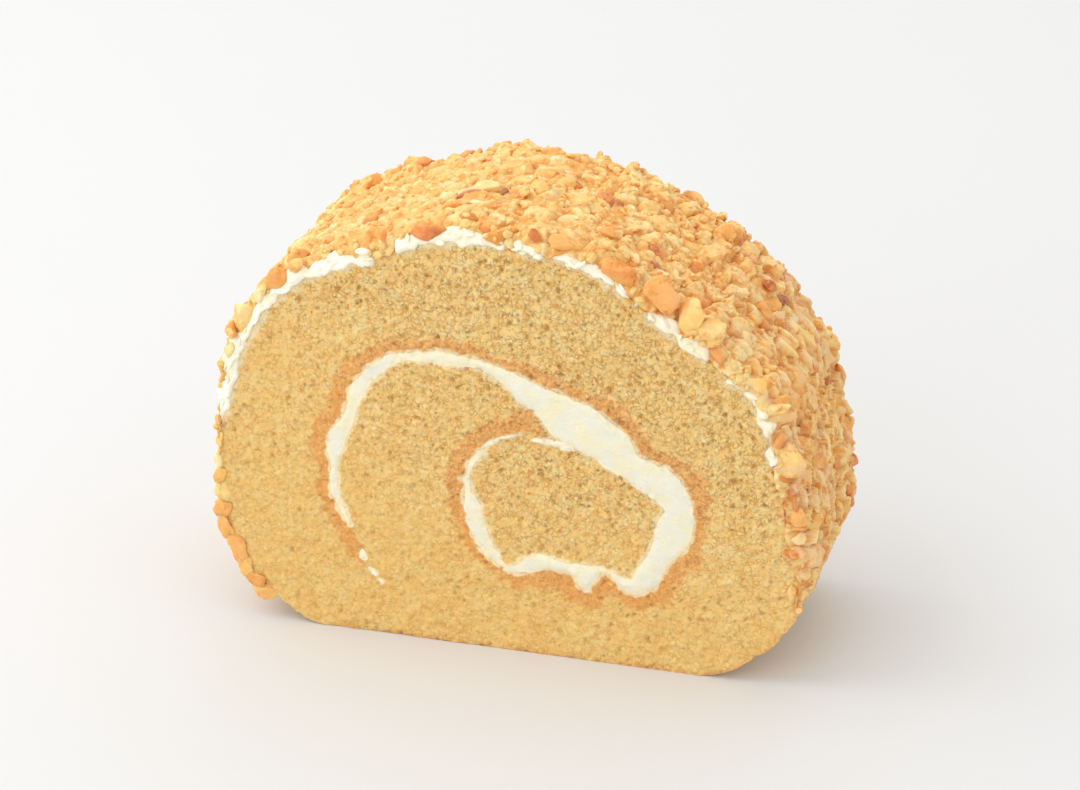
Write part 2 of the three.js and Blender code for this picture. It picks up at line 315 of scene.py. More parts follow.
CRUMBS = len(NUT_TONES)  # the small bits come after the kinds of nut
CRUMB_FLATNESS = (0.55, 0.95)


# ---------------------------------------------------------------- noise and lines


def smoothstep(low, high, value):
    """0 below low, 1 above high, and a smooth rise between them."""
    share = np.clip((value - low) / (high - low), 0.0, 1.0)
    return share * share * (3.0 - 2.0 * share)


def noise(points, size, seed, octaves=1):
    """Smooth noise from -1 to 1 at each row of points, with features about size across.

    Each seed gives a pattern of its own. octaves adds finer and finer patterns to it.
    """
    lattice = np.random.default_rng(seed).uniform(-1, 1, (LATTICE, LATTICE, LATTICE))
    total, weight, reach = np.zeros(len(points)), 0.0, float(size)
    if points.shape[1] == 2:
        points = np.column_stack([points, np.zeros(len(points))])
    for octave in range(octaves):
        place = points / reach + 7.3 * octave
        corner = np.floor(place).astype(int)
        part = place - corner
        part = part * part * (3 - 2 * part)
        value = np.zeros(len(points))
        for step in product((0, 1), repeat=3):
            share = np.where(step, part, 1 - part)
            at = (corner + step) % LATTICE
            value += share[:, 0] * share[:, 1] * share[:, 2] * lattice[tuple(at.T)]
        total += value * 0.5**octave
        weight += 0.5**octave
        reach /= 2
    return total / weight


def bent(points, size, reach, seed):
    """Points in the plane moved about by up to reach, so that patterns over them lose their grid."""
    shift = np.column_stack([noise(points, size, seed, 2), noise(points, size, seed + 1, 2)])
    return points + reach * shift


def cells(points, size, seed):
    """Scattered cells about size across.

    For each point: its distances to the nearest and the next cell centre and its offset from the
    nearest, all in cells, and four numbers for that cell.
    """
    table = np.random.default_rng(seed).random((CELL_TABLE, CELL_TABLE, 6))
    place = points / size
    home = np.floor(place).astype(int)
    nearest = np.full(len(points), 9.0)
    second = np.full(len(points), 9.0)
    offset = np.zeros((len(points), 2))
    numbers = np.zeros((len(points), 4))
    for step in product(AROUND, repeat=2):
        cell = home + step
        drawn = table[tuple(cell.T % CELL_TABLE)]
        away = place - cell - drawn[:, :2]
        gap = np.hypot(*away.T)
        closer = gap < nearest
        second = np.where(closer, nearest, np.minimum(second, gap))
        offset = np.where(closer[:, None], away, offset)
        numbers = np.where(closer[:, None], drawn[:, 2:], numbers)
        nearest = np.where(closer, gap, nearest)
    return nearest, second, offset, numbers


def resampled(line, step, closed=False):
    """The line with a point about every step."""
    if closed:
        line = np.vstack([line, line[:1]])
    along = np.concatenate([[0], np.cumsum(np.hypot(*np.diff(line, axis=0).T))])
    count = max(int(round(along[-1] / step)), 2)
    places = np.linspace(0, along[-1], count + 1)
    if closed:
        places = places[:-1]
    return np.column_stack([np.interp(places, along, line[:, k]) for k in (0, 1)])


def softened(loop, reach, step):
    """A closed loop, evenly spaced, with its corners rounded over about reach."""
    loop = resampled(loop, step, closed=True)
    span = int(3 * reach / step) + 1
    offsets = np.arange(-span, span + 1)
    weights = np.exp(-0.5 * (offsets * step / reach) ** 2)
    weights /= weights.sum()
    return sum(w * np.roll(loop, -k, axis=0) for k, w in zip(offsets, weights))


def outward(line, closed=False):
    """Unit normals to the left of a line's direction, which is outward on a clockwise loop."""
    if closed:
        along = np.roll(line, -1, axis=0) - np.roll(line, 1, axis=0)
    else:
        along = np.gradient(line, axis=0)
    along /= np.linalg.norm(along, axis=1)[:, None]
    return np.column_stack([-along[:, 1], along[:, 0]])


def nearest_in(line, points):
    """For each point, the number of the line's nearest one, and the distance to it."""
    tree = KDTree(len(line))
    for i, (x, z) in enumerate(line):
        tree.insert((x, z, 0), i)
    tree.balance()
    found = [tree.find((x, z, 0))[1:] for x, z in points]
    return np.array([i for i, _ in found]), np.array([gap for _, gap in found])


def distance_to(points, loop):
    """Distance from each point to a closed loop."""
    return nearest_in(resampled(loop, LINE_STEP, closed=True), points)[1]


def beside(points, line):
    """Distance from each point to a line, and 1 where the point is to its left or 0 to its right."""
    dense = resampled(line, LINE_STEP)
    nearest, gap = nearest_in(dense, points)
    away = points - dense[nearest]
    return gap, ((away * outward(dense)[nearest]).sum(1) > 0).astype(float)


def inside(points, loop):
    """Whether each point is inside the closed loop."""
    x, z = points[:, 0], points[:, 1]
    found = np.zeros(len(points), bool)
    for (x0, z0), (x1, z1) in zip(loop, np.roll(loop, -1, axis=0)):
        if z0 != z1:
            crosses = (z0 > z) != (z1 > z)
            found ^= crosses & (x < x0 + (z - z0) * (x1 - x0) / (z1 - z0))
    return found


def within(points, loops):
    """Whether each point is inside the first loop and outside the others."""
    found = inside(points, loops[0])
    for hole in loops[1:]:
        found &= ~inside(points, hole)
    return found


# ---------------------------------------------------------------- outlines from the frame


def points_of(mesh):
    """A mesh's vertices, in millimetres."""
    spots = np.empty(3 * len(mesh.vertices), np.float32)
    mesh.vertices.foreach_get("co", spots)
    return spots.reshape(-1, 3) / MM


def cut_outline(node):
    """The widest closed outline of a node's front cut, clockwise, as rows of x and z."""
    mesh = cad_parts[node].data
    mesh.calc_loop_triangles()
    spots = points_of(mesh)
    front = spots[:, 1] < spots[:, 1].min() + 1e-2
    keys = [tuple(np.round(p[[0, 2]], 2)) for p in spots]
    directed = set()
    for triangle in mesh.loop_triangles:
        corners = list(triangle.vertices)
        if front[corners].all():
            for a, b in zip(corners, corners[1:] + corners[:1]):
                directed.add((keys[a], keys[b]))
    following = {a: b for a, b in directed if (b, a) not in directed}
    loops = []
    while following:
        start, step = following.popitem()
        loop = [start]
        while step != start:
            loop.append(step)
            step = following.pop(step)
        loop = np.array(loop, float)
        area = np.sum(loop[:, 0] * np.roll(loop[:, 1], -1) - np.roll(loop[:, 0], -1) * loop[:, 1])
        loops.append(loop[::-1] if area > 0 else loop)
    return max(loops, key=lambda loop: np.ptp(loop[:, 0]))


def tip_between(ends, inner, reach):
    """Points from one end of an open outline round a tip to the other, away from the inner ones."""
    run = ends.mean(0) - inner.mean(0)
    tip = ends.mean(0) + run / np.linalg.norm(run) * reach
    return resampled(np.vstack([ends[0], tip, ends[1]]), EDGE_STEP)[1:-1]


def cream_without_tail(loop, height):
    """The cream's outline, which starts at its tail, ended in a rounded tip at that height instead."""
    high = loop[:, 1] > height
    first, last = int(np.argmax(high)), len(loop) - int(np.argmax(high[::-1]))
    loop = loop[first:last]
    return np.vstack([tip_between(loop[[-1, 0]], loop[[-8, 7]], 1.2), loop])


def pinched(loop):
    """The cream's outline drawn in, more where it thins."""
    inward = -outward(loop, closed=True)
    wanted = np.full(len(loop), CREAM_INSET)
    for spot, amount, reach in PINCHES:
        wanted += amount * np.exp(-((np.hypot(*(loop - spot).T) / reach) ** 2))
    away = loop[None] - loop[:, None]
    ahead = (away * inward[:, None]).sum(2)
    aside = np.abs(away[:, :, 0] * inward[:, None, 1] - away[:, :, 1] * inward[:, None, 0])
    width = np.where((ahead > 0.05) & (aside < 0.4), ahead, np.inf).min(1)
    thick_enough = smoothstep(0.4, 0.9, width) * np.isfinite(width)
    return loop + inward * (thick_enough * np.minimum(wanted, CREAM_MOST * width))[:, None]


def without_tip(loop, tip):
    """The cream's outline, ended CREAM_TIP before the tip at that place in it."""
    gap = np.hypot(*(loop - loop[tip]).T)
    before = tip - int(np.argmax(gap[tip::-1] > CREAM_TIP))
    after = tip + int(np.argmax(gap[tip:] > CREAM_TIP))
    cap = tip_between(loop[[before, after]], loop[[before - 6, after + 6]], 0.6)
    return np.vstack([loop[: before + 1], cap, loop[after:]])


def start_at(loop, point):
    """The loop, begun at its point nearest to the given one."""
    return np.roll(loop, -int(np.argmin(np.hypot(*(loop - point).T))), axis=0)


# ---------------------------------------------------------------- meshes


def mesh_object(name, vertices, faces, material, values, rim=None, crisp=None):
    """A new object from vertices in millimetres. values are named numbers, one for each vertex.

    Edges between two vertices of the rim are sharp, and so are those bent by more than crisp degrees.
    """
    mesh = bpy.data.meshes.new(name)
    faces = np.asarray(faces, np.int32)
    mesh.vertices.add(len(vertices))
    mesh.vertices.foreach_set("co", (np.asarray(vertices, float) * MM).ravel())
    mesh.loops.add(faces.size)
    mesh.loops.foreach_set("vertex_index", faces.ravel())
    mesh.polygons.add(len(faces))
    mesh.polygons.foreach_set("loop_start", np.arange(len(faces), dtype=np.int32) * faces.shape[1])
    mesh.polygons.foreach_set("use_smooth", np.ones(len(faces), bool))
    for key, numbers in values.items():
        attribute = mesh.attributes.new(key, "FLOAT", "POINT")
        attribute.data.foreach_set("value", np.asarray(numbers, np.float32))
    mesh.update(calc_edges=True)
    mesh.validate()
    if rim is not None:
        ends = np.empty(2 * len(mesh.edges), np.int32)
        mesh.edges.foreach_get("vertices", ends)
        sharp = rim[ends.reshape(-1, 2)].all(axis=1)
        mesh.attributes.new("sharp_edge", "BOOLEAN", "EDGE").data.foreach_set("value", sharp)
    if crisp is not None:
        mesh.set_sharp_from_angle(angle=math.radians(crisp))
    piece = bpy.data.objects.new(name, mesh)
    bpy.context.scene.collection.objects.link(piece)
    mesh.materials.append(material)
    return piece


def filled(loops, step):
    """Triangles inside the first loop and outside the others. The loops' own points come first."""
    edge = np.vstack(loops)
    low, high = edge.min(0), edge.max(0)
    rows = np.arange(low[1], high[1], step * math.sqrt(3) / 2)
    columns = np.arange(low[0], high[0], step)
    grid = np.array([(x + step / 2 * (k % 2), z) for k, z in enumerate(rows) for x in columns])
    grid += np.random.default_rng(SEED).uniform(-GRID_JITTER, GRID_JITTER, grid.shape) * step
    grid = grid[within(grid, loops)]
    for loop in loops:
        grid = grid[distance_to(grid, loop) > GRID_ROOM * step]
    borders, first = [], 0
    for loop in loops:
        last = first + len(loop)
        borders += [(i, i + 1 if i + 1 < last else first) for i in range(first, last)]
        first = last
    points = np.vstack([edge, grid])
    _, _, faces, origins, _, _ = delaunay_2d_cdt([Vector(p) for p in points], borders, [], 0, 1e-6)
    found = np.array([o[0] for o in origins])
    faces = np.array([found[list(f)] for f in faces])
    return points, faces[within(points[faces].mean(1), loops)]


def joined(parts):
    """The vertices and faces of several meshes, as one."""
    vertices, faces, count = [], [], 0
    for spots, triangles in parts:
        vertices.append(spots)
        faces.append(triangles + count)
        count += len(spots)
    return np.vstack(vertices), np.vstack(faces)


def cut_mesh(flat, triangles, height, side):
    """A cut's vertices, out from it by their heights, and its faces, turned to look out."""
    spots = np.column_stack([flat[:, 0], side * (HALF_DEPTH + height), flat[:, 1]])
    return spots, triangles if side < 0 else triangles[:, ::-1]


def wall(front, back, rows, vertex_count):
    """Faces between two loops of vertices, through rows of new vertices between them."""
    count = len(front)
    grid = [front]
    for row in range(rows):
        grid.append(np.arange(count) + vertex_count + row * count)
    grid.append(back)
    faces = []
    for a, b in zip(grid, grid[1:]):
        a2, b2 = np.roll(a, -1), np.roll(b, -1)
        faces.append(np.column_stack([a, b, a2]))
        faces.append(np.column_stack([a2, b, b2]))
    return np.vstack(faces)


# ---------------------------------------------------------------- the crumb


def evenness(points):
    """How even the crumb is on the cut, from 0 at the upper right to 1 at the foot and lower left."""
    foot = 1 - smoothstep(4.0, 34.0, points[:, 1])
    left = (1 - smoothstep(-34.0, 10.0, points[:, 0])) * (1 - smoothstep(40.0, 60.0, points[:, 1]))
    return np.clip(0.95 * foot + 0.75 * left, 0, 1)


def crumb_relief(points, seed):
    """The cut crumb: its height above its plane, how light its grains are, and how deep its pores and the
    creases between its grains are, which the material paints as shade.
    """
    near, second, _, number = cells(bent(points, 1.2, 0.45, seed), GRAIN, seed + 2)
    seam = 1 - smoothstep(0.0, 0.25, second - near)
    gap, _, _, drawn = cells(bent(points, 0.9, 0.5, seed + 10), PORE, seed + 4)
    closed_share = 0.70 + 0.25 * noise(points, 6.0, seed + 5)
    reach = np.clip(0.14 + 1.1 * (drawn[:, 0] - closed_share), 0.0, 0.40)
    reach = np.where(drawn[:, 0] > closed_share, reach, 0.01)
    hollow = 1 - smoothstep(0.35, 1.0, gap * PORE / reach)
    rough = (1 + 0.4 * noise(points, 16.0, seed + 11)) * (1 - 0.40 * evenness(points))
    height = (
        rough * (0.34 * (1 - near**2) + 0.20 * number[:, 0])
        - 0.45 * hollow * np.clip(reach / 0.3, 0, 1)
        + 0.12 * noise(points, 0.75, seed + 3)
        + 0.16 * noise(points, 2.2, seed + 6, 2)
        + 0.20 * noise(points, 13.0, seed + 7)
        - 0.40
    )
    # painted shade for the creases between grains and for the pores, which the material darkens
    crease = seam * smoothstep(0.30, 0.60, number[:, 1])
    light = number[:, 2] + 0.3 * noise(points, 1.6, seed + 9)
    return height, np.clip(light, 0, 1), np.clip(0.55 * rough * crease + 0.9 * hollow, 0, 1)


def skin_amount(points, line, seed):
    """How browned the crumb is, from 0 to 1, by its distance from the skin and from a few spots."""
    width = SKIN_WIDTH * (1 + 0.35 * noise(points, 6.0, seed + 20))
    rough = 0.75 * noise(points, 1.7, seed + 21, 2) + 0.45 * noise(points, 0.6, seed + 22)
    gap, outside = beside(points, line)
    amount = outside * (1 - smoothstep(0.55, 1.25, (gap + rough) / width))
    for (x, z), reach, share in SKIN_SPOTS:
        gap = (np.hypot(points[:, 0] - x, points[:, 1] - z) + rough) / reach
        amount = np.maximum(amount, share * (1 - smoothstep(0.3, 1.25, gap)))
    return amount * (0.95 + 0.30 * noise(points, 1.1, seed + 23, 2))


def streaked(points):
    """1 under the streaks of cream, fading to 0 round them."""
    amount = np.zeros(len(points))
    for x, z, length, width, angle in STREAKS:
        turn = math.radians(angle)
        run, across = math.cos(turn), math.sin(turn)
        along = (points[:, 0] - x) * run + (points[:, 1] - z) * across
        beside_it = (points[:, 1] - z) * run - (points[:, 0] - x) * across
        gap = np.hypot(along / (length / 2 + 0.3), beside_it / (width / 2 + 0.3))
        amount = np.maximum(amount, 1 - smoothstep(0.6, 1.25, gap))
    return amount


def sponge_piece(outline, cream, skin_line, ridge, material):
    """The rolled sheet as one closed body, with both cuts, the walls of the swirl and the outside."""
    cuts, wall_rows = [], []
    values = {"skin": [], "pore": [], "grain": [], "smear": [], "even": []}

    def keep(**numbers):
        for key, rows in values.items():
            rows.append(numbers[key])

    for side, step, seed in ((-1, FRONT_STEP, FRONT_SEED), (1, BACK_STEP, BACK_SEED)):
        flat, triangles = filled([outline, cream[::-1]], step)
        height, light, deep = crumb_relief(flat, seed)
        to_edge, to_cream = distance_to(flat, outline), distance_to(flat, cream)
        browned = skin_amount(flat, skin_line, seed)
        height -= 0.10 * (1 - smoothstep(0.0, 0.8, to_edge))
        rough = 0.45 * noise(flat, 0.9, seed + 30, 2)
        rind = 1 - smoothstep(0.1, 1.3, to_edge + 1.5 * rough)
        browned = np.maximum(browned, 0.6 * rind * smoothstep(-0.15, 0.30, noise(flat, 3.5, seed + 31)))
        iced = smoothstep(0.15, 0.8, ridge.cut_icing(ridge.beside(flat), side))
        smear = np.maximum(
            1 - smoothstep(0.25, 0.85, to_cream + rough),
            0.95 * iced * (1 - smoothstep(0.2, 1.7, to_edge + 1.5 * rough)),
        )
        if side < 0:
            smear = np.maximum(smear, 0.9 * streaked(flat + 0.4 * rough[:, None]))
        cuts.append(cut_mesh(flat, triangles, height, side))
        # the third number of crumb_relief() is painted shade for the pores and creases
        keep(skin=browned, pore=deep, grain=light, smear=smear, even=evenness(flat))
    # The outside wall, through rows of vertices, and the swirl's walls, straight from cut to cut.
    n_out, n_in = len(outline), len(cream)
    rows = int(2 * HALF_DEPTH / WALL_STEP) - 1
    normal = outward(outline, closed=True)
    for row in range(rows):
        y = -HALF_DEPTH + 2 * HALF_DEPTH * (row + 1) / (rows + 1)
        spots = np.column_stack([outline[:, 0], np.full(n_out, y), outline[:, 1]])
        rise = 0.30 * noise(spots, 1.9, 301, 2) * smoothstep(0.2, 2.0, outline[:, 1])
        spots[:, [0, 2]] += normal * rise[:, None]
        wall_rows.append(spots)
        keep(
            skin=0.30 + 0.5 * noise(spots, 5.0, 302, 3),
            # painted shade of pores on the outside, scattered by noise
            pore=np.clip(0.6 * noise(spots, 1.6, 303, 2), 0, 1),
            grain=0.5 + 0.4 * noise(spots, 1.8, 304, 2),
            smear=np.zeros(n_out),
            even=np.full(n_out, 0.3),
        )
    vertices, faces = joined(cuts)
    outer, inner, back = np.arange(n_out), n_out + np.arange(n_in), len(cuts[0][0])
    sides = [wall(outer, back + outer, rows, len(vertices)), wall(inner, back + inner, 0, 0)]
    faces = np.vstack([faces, *sides])
    vertices = np.vstack([vertices, *wall_rows])
    vertices[:, 2] = np.maximum(vertices[:, 2], 0.0)
    values = {key: np.concatenate(rows) for key, rows in values.items()}
    rim = np.zeros(len(vertices), bool)
    for start in (0, back):
        rim[start : start + n_out + n_in] = True
    return mesh_object("sponge_crumb", vertices, faces, material, values, rim)


# ---------------------------------------------------------------- cream


def cream_piece(loop, material):
    """The swirl of cream, soft and a little uneven, just proud of both cuts and over their edges."""
    ragged = np.maximum(0.10 + 0.24 * noise(loop, 1.5, 391, 2) + 0.18 * noise(loop, 0.6, 392), 0.04)
    loop = loop + outward(loop, closed=True) * ragged[:, None]
    cuts, thin = [], []
    for side, seed, crumb_seed in ((-1, 400, FRONT_SEED), (1, 500, BACK_SEED)):
        flat, triangles = filled([loop], CREAM_STEP)
        gap = distance_to(flat, loop)
        crumb, *_ = crumb_relief(flat, crumb_seed)
        soft = (
            0.04
            + 0.10 * smoothstep(0.8, 3.0, gap)
            + 0.16 * noise(flat, 2.3, seed, 2)
            + 0.18 * noise(flat, 8.0, seed + 1)
            + 0.06 * noise(flat, 0.8, seed + 2, 2)
        )
        height = crumb + 0.03 + (soft - crumb - 0.03) * smoothstep(0.0, 0.75, gap)
        thin.append(1 - smoothstep(0.0, 0.6, gap + 0.25 * noise(flat, 0.9, seed + 3)))
        cuts.append(cut_mesh(flat, triangles, height, side))
    vertices, faces = joined(cuts)
    ring, back = np.arange(len(loop)), len(cuts[0][0])
    faces = np.vstack([faces, wall(ring, back + ring, 0, 0)[:, ::-1]])
    rim = np.zeros(len(vertices), bool)
    rim[ring] = rim[back + ring] = True
    return mesh_object("cream_swirl", vertices, faces, material, {"edge": np.concatenate(thin)}, rim)


def right_shade(x):
    """How much painted shade the icing has, in the cream's edge colour, which is more down the right side.
    """
    return ICING_RIGHT_SHADE * smoothstep(8, 34, x)


class Ridge:
    """The line over the roll from its lower left, over the top, to its lower right."""

    def __init__(self, outline):
        loop = softened(outline, 1.2, 0.5)
        low = loop[:, 1] < np.where(loop[:, 0] < 0, COAT_END_LEFT, COAT_END_RIGHT)
        first = int(np.argmax(low & ~np.roll(low, -1))) + 1
        loop, low = np.roll(loop, -first, axis=0), np.roll(low, -first)
        self.line = loop[: int(np.argmax(low))]
        self.normal = outward(self.line)
        steps = np.hypot(*np.diff(self.line, axis=0).T)
        self.along = np.concatenate([[0], np.cumsum(steps)])
        self.length = self.along[-1]
        self.icing = np.array([(self.nearest(x, z), thick) for x, z, thick in ICING])

    def place(self, along, y, height):
        """Points over the ridge, from how far along it, how far through the slice, and how high."""
        x, z, nx, nz = (
            np.interp(along, self.along, column)
            for column in (*self.line.T, *self.normal.T)
        )
        return np.column_stack([x + nx * height, y, z + nz * height])

    def turn(self, along):
        """For each place, its own axes as columns: along the ridge, through the slice, and outward."""
        nx, nz = (np.interp(along, self.along, column) for column in self.normal.T)
        zero = np.zeros_like(nx)
        out = np.column_stack([nx, zero, nz])
        run = np.column_stack([nz, zero, -nx])
        through = np.tile([0.0, 1.0, 0.0], (len(nx), 1))
        return np.stack([run, through, out], axis=2)

    def nearest(self, x, z):
        """How far along the ridge it is nearest to a point of the plane."""
        return float(self.along[np.argmin(np.hypot(self.line[:, 0] - x, self.line[:, 1] - z))])

    def beside(self, points):
        """How far along the ridge each point of the plane is."""
        return self.along[nearest_in(self.line, points)[0]]

    def cut_icing(self, along, y):
        """The icing's thickness at the cut on y's side, which comes and goes, most on the right."""
        y = np.broadcast_to(y, along.shape)
        line = np.column_stack([along, np.where(y < 0, 0.0, 40.0)])
        front = np.interp(along, *self.icing.T)
        back = front * (1 + 0.5 * noise(line, 7.0, 605, 2))
        broken = smoothstep(-0.30, 0.10, noise(line, 2.6, 607, 2) + 0.5 - 0.5 * along / self.length)
        return np.where(y < 0, front, back) * (0.25 + 0.75 * broken)

    def ends(self, along):
        """0 at both ends of the ridge and 1 along the rest of it."""
        return smoothstep(0, 5, along) * smoothstep(0, 7, self.length - along)


def coat_thickness(ridge, along, y):
    """Icing over the sponge: as the cuts have it near them, and even between them."""
    low = ridge.place(along, y, 0)
    between = COAT_LOW + (COAT_HIGH - COAT_LOW) * smoothstep(20, 52, low[:, 2])
    cut = 1 - smoothstep(1.5, 7.0, HALF_DEPTH - np.abs(y))
    base = between + (ridge.cut_icing(along, y) - between) * cut
    rough = 1 + 0.45 * noise(low, 2.2, 601, 2)
    return np.maximum(base * rough + 0.30 * noise(low, 0.9, 602, 2), 0.02)


def crust_thickness(ridge, along, y):
    """Nuts over the icing: thin down the left, most of all by the front cut, thick on the right."""
    x, _, z = ridge.place(along, y, 0).T
    bare = smoothstep(16, 24, z) * (1 - smoothstep(38, 46, z))
    bare *= 1 - smoothstep(2.0, 9.0, y + HALF_DEPTH)
    side = np.where(x < 0, LEFT_CRUST - BARE_LEFT * bare, RIGHT_CRUST + RIGHT_MORE * smoothstep(12, 24, z))
    share = smoothstep(22, 56, z) * np.where(x < 0, 1 - bare, 1)
    rear = smoothstep(-6, 15, y)
    shoulder = np.exp(-(((x - SHOULDER_X) / SHOULDER_REACH) ** 2)) * (z > 30)
    shoulder = (SHOULDER_CRUST + SHOULDER_MORE * rear) * shoulder
    slim = rear * smoothstep(31, 36, x) * np.exp(-(((z - SLIM_Z) / SLIM_REACH) ** 2))
    thick = (side + (TOP_CRUST - side) * share + shoulder) * (1 - SLIM_SHARE * slim)
    return thick * (0.25 + 0.75 * ridge.ends(along))


def crust_relief(along, y):
    """Packed nuts: how far they stand out, about -1 to 1, a tone for each, and how low in their crevices
    each place is, which the material paints as shade.

    Some cells are single chunks with a slanted top, most of all down the right side, and small crumbs
    fill the rest.
    """
    flat = np.column_stack([along, y])
    near, second, away, number = cells(bent(flat, 1.8, 0.6, 641), CHUNK, 643)
    closed = 0.30 - 0.22 * smoothstep(118, 132, along)
    whole = smoothstep(closed, closed + 0.08, number[:, 2]) * smoothstep(0.04, 0.20, second - near)
    top = 0.15 + 0.7 * number[:, 3] + 2.4 * (away * (number[:, :2] - 0.5)).sum(1)
    bit_near, bit_second, bit_away, bit = cells(bent(flat, 0.8, 0.3, 651), BIT, 645)
    bit_seam = np.clip((bit_second - bit_near) / 0.35, 0, 1)
    crumbs = -0.55 + (0.9 * bit[:, 0] + 1.3 * (bit_away * (bit[:, 2:] - 0.5)).sum(1)) * bit_seam
    height = crumbs + (top - crumbs) * whole + 0.16 * noise(flat, 0.7, 647, 2)
    tone = bit[:, 1] + (number[:, 1] - bit[:, 1]) * whole
    return np.clip(height, -1.1, 1.1), tone, 1 - smoothstep(-0.75, 0.15, height)


def crust_top(ridge, along, y):
    """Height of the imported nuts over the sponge."""
    crust = crust_thickness(ridge, along, y)
    deep = 0.50 + 0.18 * smoothstep(30, 40, ridge.place(along, y, 0)[:, 0])
    return coat_thickness(ridge, along, y) + crust * (1 + deep * crust_relief(along, y)[0])


def cut_wave(along, seed, reach, size):
    """Noise along the ridge, up to reach either way."""
    return reach * noise(np.column_stack([along, np.zeros_like(along)]), size, seed, 3)


def bare_rim(ridge, along, side):
    """How far in from a cut the nuts start, which leaves the icing bare."""
    icing = ridge.cut_icing(along, side)
    wave = cut_wave(along, 631 + side, 1.5, 3.6) * (0.3 + 0.7 * smoothstep(0.2, 0.9, icing))
    return np.maximum(0.2 + 0.5 * np.maximum(icing - 0.5, 0) + wave, -0.2)


def shell(name, ridge, material, along_step, through, front, back, bottom, top, edge, look, crisp=None):
    """A closed shell over the ridge, with both cut edges. through are places from front to back.

    front, back, bottom and top are functions of the place along the ridge, and top also of y. edge is
    how rough its cut edges are, how far in they slope down, and to what share of the height. look
    gives the named numbers of places along and through it.
    """
    wobble, slope, share = edge
    steps = int(ridge.length / along_step)
    rise = np.linspace(0, 1, EDGE_ROWS + 1)[:-1]
    u = np.concatenate([np.zeros(EDGE_ROWS), through, np.ones(EDGE_ROWS)])
    v = np.concatenate([rise, np.ones(len(through)), rise[::-1]])
    along = np.repeat(np.linspace(0, 1, steps + 1), len(u))
    u, v = np.tile(u, steps + 1), np.tile(v, steps + 1)
    across = np.column_stack([2 * HALF_DEPTH * u, np.zeros(len(u))])
    first = END_WAVE * (0.5 + 0.5 * noise(across, 4.0, 671, 3))
    last = ridge.length - END_WAVE * (0.5 + 0.5 * noise(across, 4.0, 672, 3))
    along = first + (last - first) * along
    y = front(along) + (back(along) - front(along)) * u
    low, high = bottom(along, y), top(along, y)
    rim = np.minimum(u, 1 - u) * 2 * HALF_DEPTH
    high -= (1 - share) * (high - low) * (1 - np.clip(rim / slope, 0, 1)) ** 2
    spots = ridge.place(along, y, low + (high - low) * v)
    outer = (1 - smoothstep(0.0, 1.0, rim)) * np.where(u < 0.5, -1, 1)
    spots[:, 1] += outer * (wobble * noise(spots, 0.8, 661, 2) + 0.2 * np.sin(math.pi * v) - 0.1)
    across = len(u) // (steps + 1)
    index = np.arange(len(spots)).reshape(steps + 1, across)

    def quads(a, b, c, d):
        a, b, c, d = (k.ravel() for k in (a, b, c, d))
        return np.vstack([np.column_stack([a, b, c]), np.column_stack([a, c, d])])

    faces = [
        quads(index[:-1, :-1], index[1:, :-1], index[1:, 1:], index[:-1, 1:]),
        quads(index[:-1, -1], index[1:, -1], index[1:, 0], index[:-1, 0]),
    ]
    for row, turned in ((index[0], False), (index[-1], True)):
        fan = np.column_stack([np.full(across - 2, row[0]), row[1:-1], row[2:]])
        faces.append(fan[:, ::-1] if turned else fan)
    faces = np.vstack(faces)[:, ::-1]
    return mesh_object(name, spots, faces, material, look(along, y), crisp=crisp)


def graded(fine, fine_width, coarse):
    """Places from 0 to 1 through the slice, closer together within fine_width of both cuts."""
    width = 2 * HALF_DEPTH
    edge = np.arange(0, fine_width, fine)
    middle = np.linspace(fine_width, width - fine_width, int((width - 2 * fine_width) / coarse))
    return np.concatenate([edge, middle, width - edge[::-1]]) / width


def coat_piece(ridge, material):
    """The icing under the nuts, whose cut edge shows as an uneven, broken white band."""

    def drawn_back(along, side):
        """How far the icing starts behind a cut: well behind it where there is next to none."""
        icing = ridge.cut_icing(along, side)
        return 1.6 * (1 - smoothstep(0.15, 0.7, icing)) + cut_wave(along, 611 + side, 0.30, 2.4)

    def bottom(along, y):
        ragged = cut_wave(along, 615, 0.9, 1.6)
        return np.where(HALF_DEPTH - np.abs(y) < 3, -0.40 + ragged, -1.1)

    return shell(
        "cream_icing",
        ridge,
        material,
        along_step=ICING_STEP,
        through=graded(fine=0.34, fine_width=4.2, coarse=1.6),
        front=lambda along: -HALF_DEPTH - 0.10 + drawn_back(along, -1),
        back=lambda along: HALF_DEPTH + 0.10 - drawn_back(along, 1),
        bottom=bottom,
        top=lambda along, y: coat_thickness(ridge, along, y),
        edge=(0.28, 0.7, 0.6),
        # painted shade down the right side, in the cream's edge colour
        look=lambda along, y: {"edge": right_shade(ridge.place(along, y, 0)[:, 0])},
    )


def bed_piece(ridge, material):
    """The close layer of chopped nuts, pressed into the icing."""

    def look(along, y):
        # crevice is painted shade in the bed's hollows
        _, tone, crevice = crust_relief(along, y)
        return {"tone": tone, "crevice": crevice}

    return shell(
        "nut_crust_bed",
        ridge,
        material,
        along_step=BED_STEP,
        through=np.linspace(0, 1, BED_ROWS),
        front=lambda along: -HALF_DEPTH + bare_rim(ridge, along, -1),
        back=lambda along: HALF_DEPTH - bare_rim(ridge, along, 1),
        bottom=lambda along, y: coat_thickness(ridge, along, y) - 0.35,
        top=lambda along, y: crust_top(ridge, along, y),
        edge=(0.60, 1.6, 0.35),
        look=look,
        crisp=BED_CREASE,
    )


# ---------------------------------------------------------------- nuts


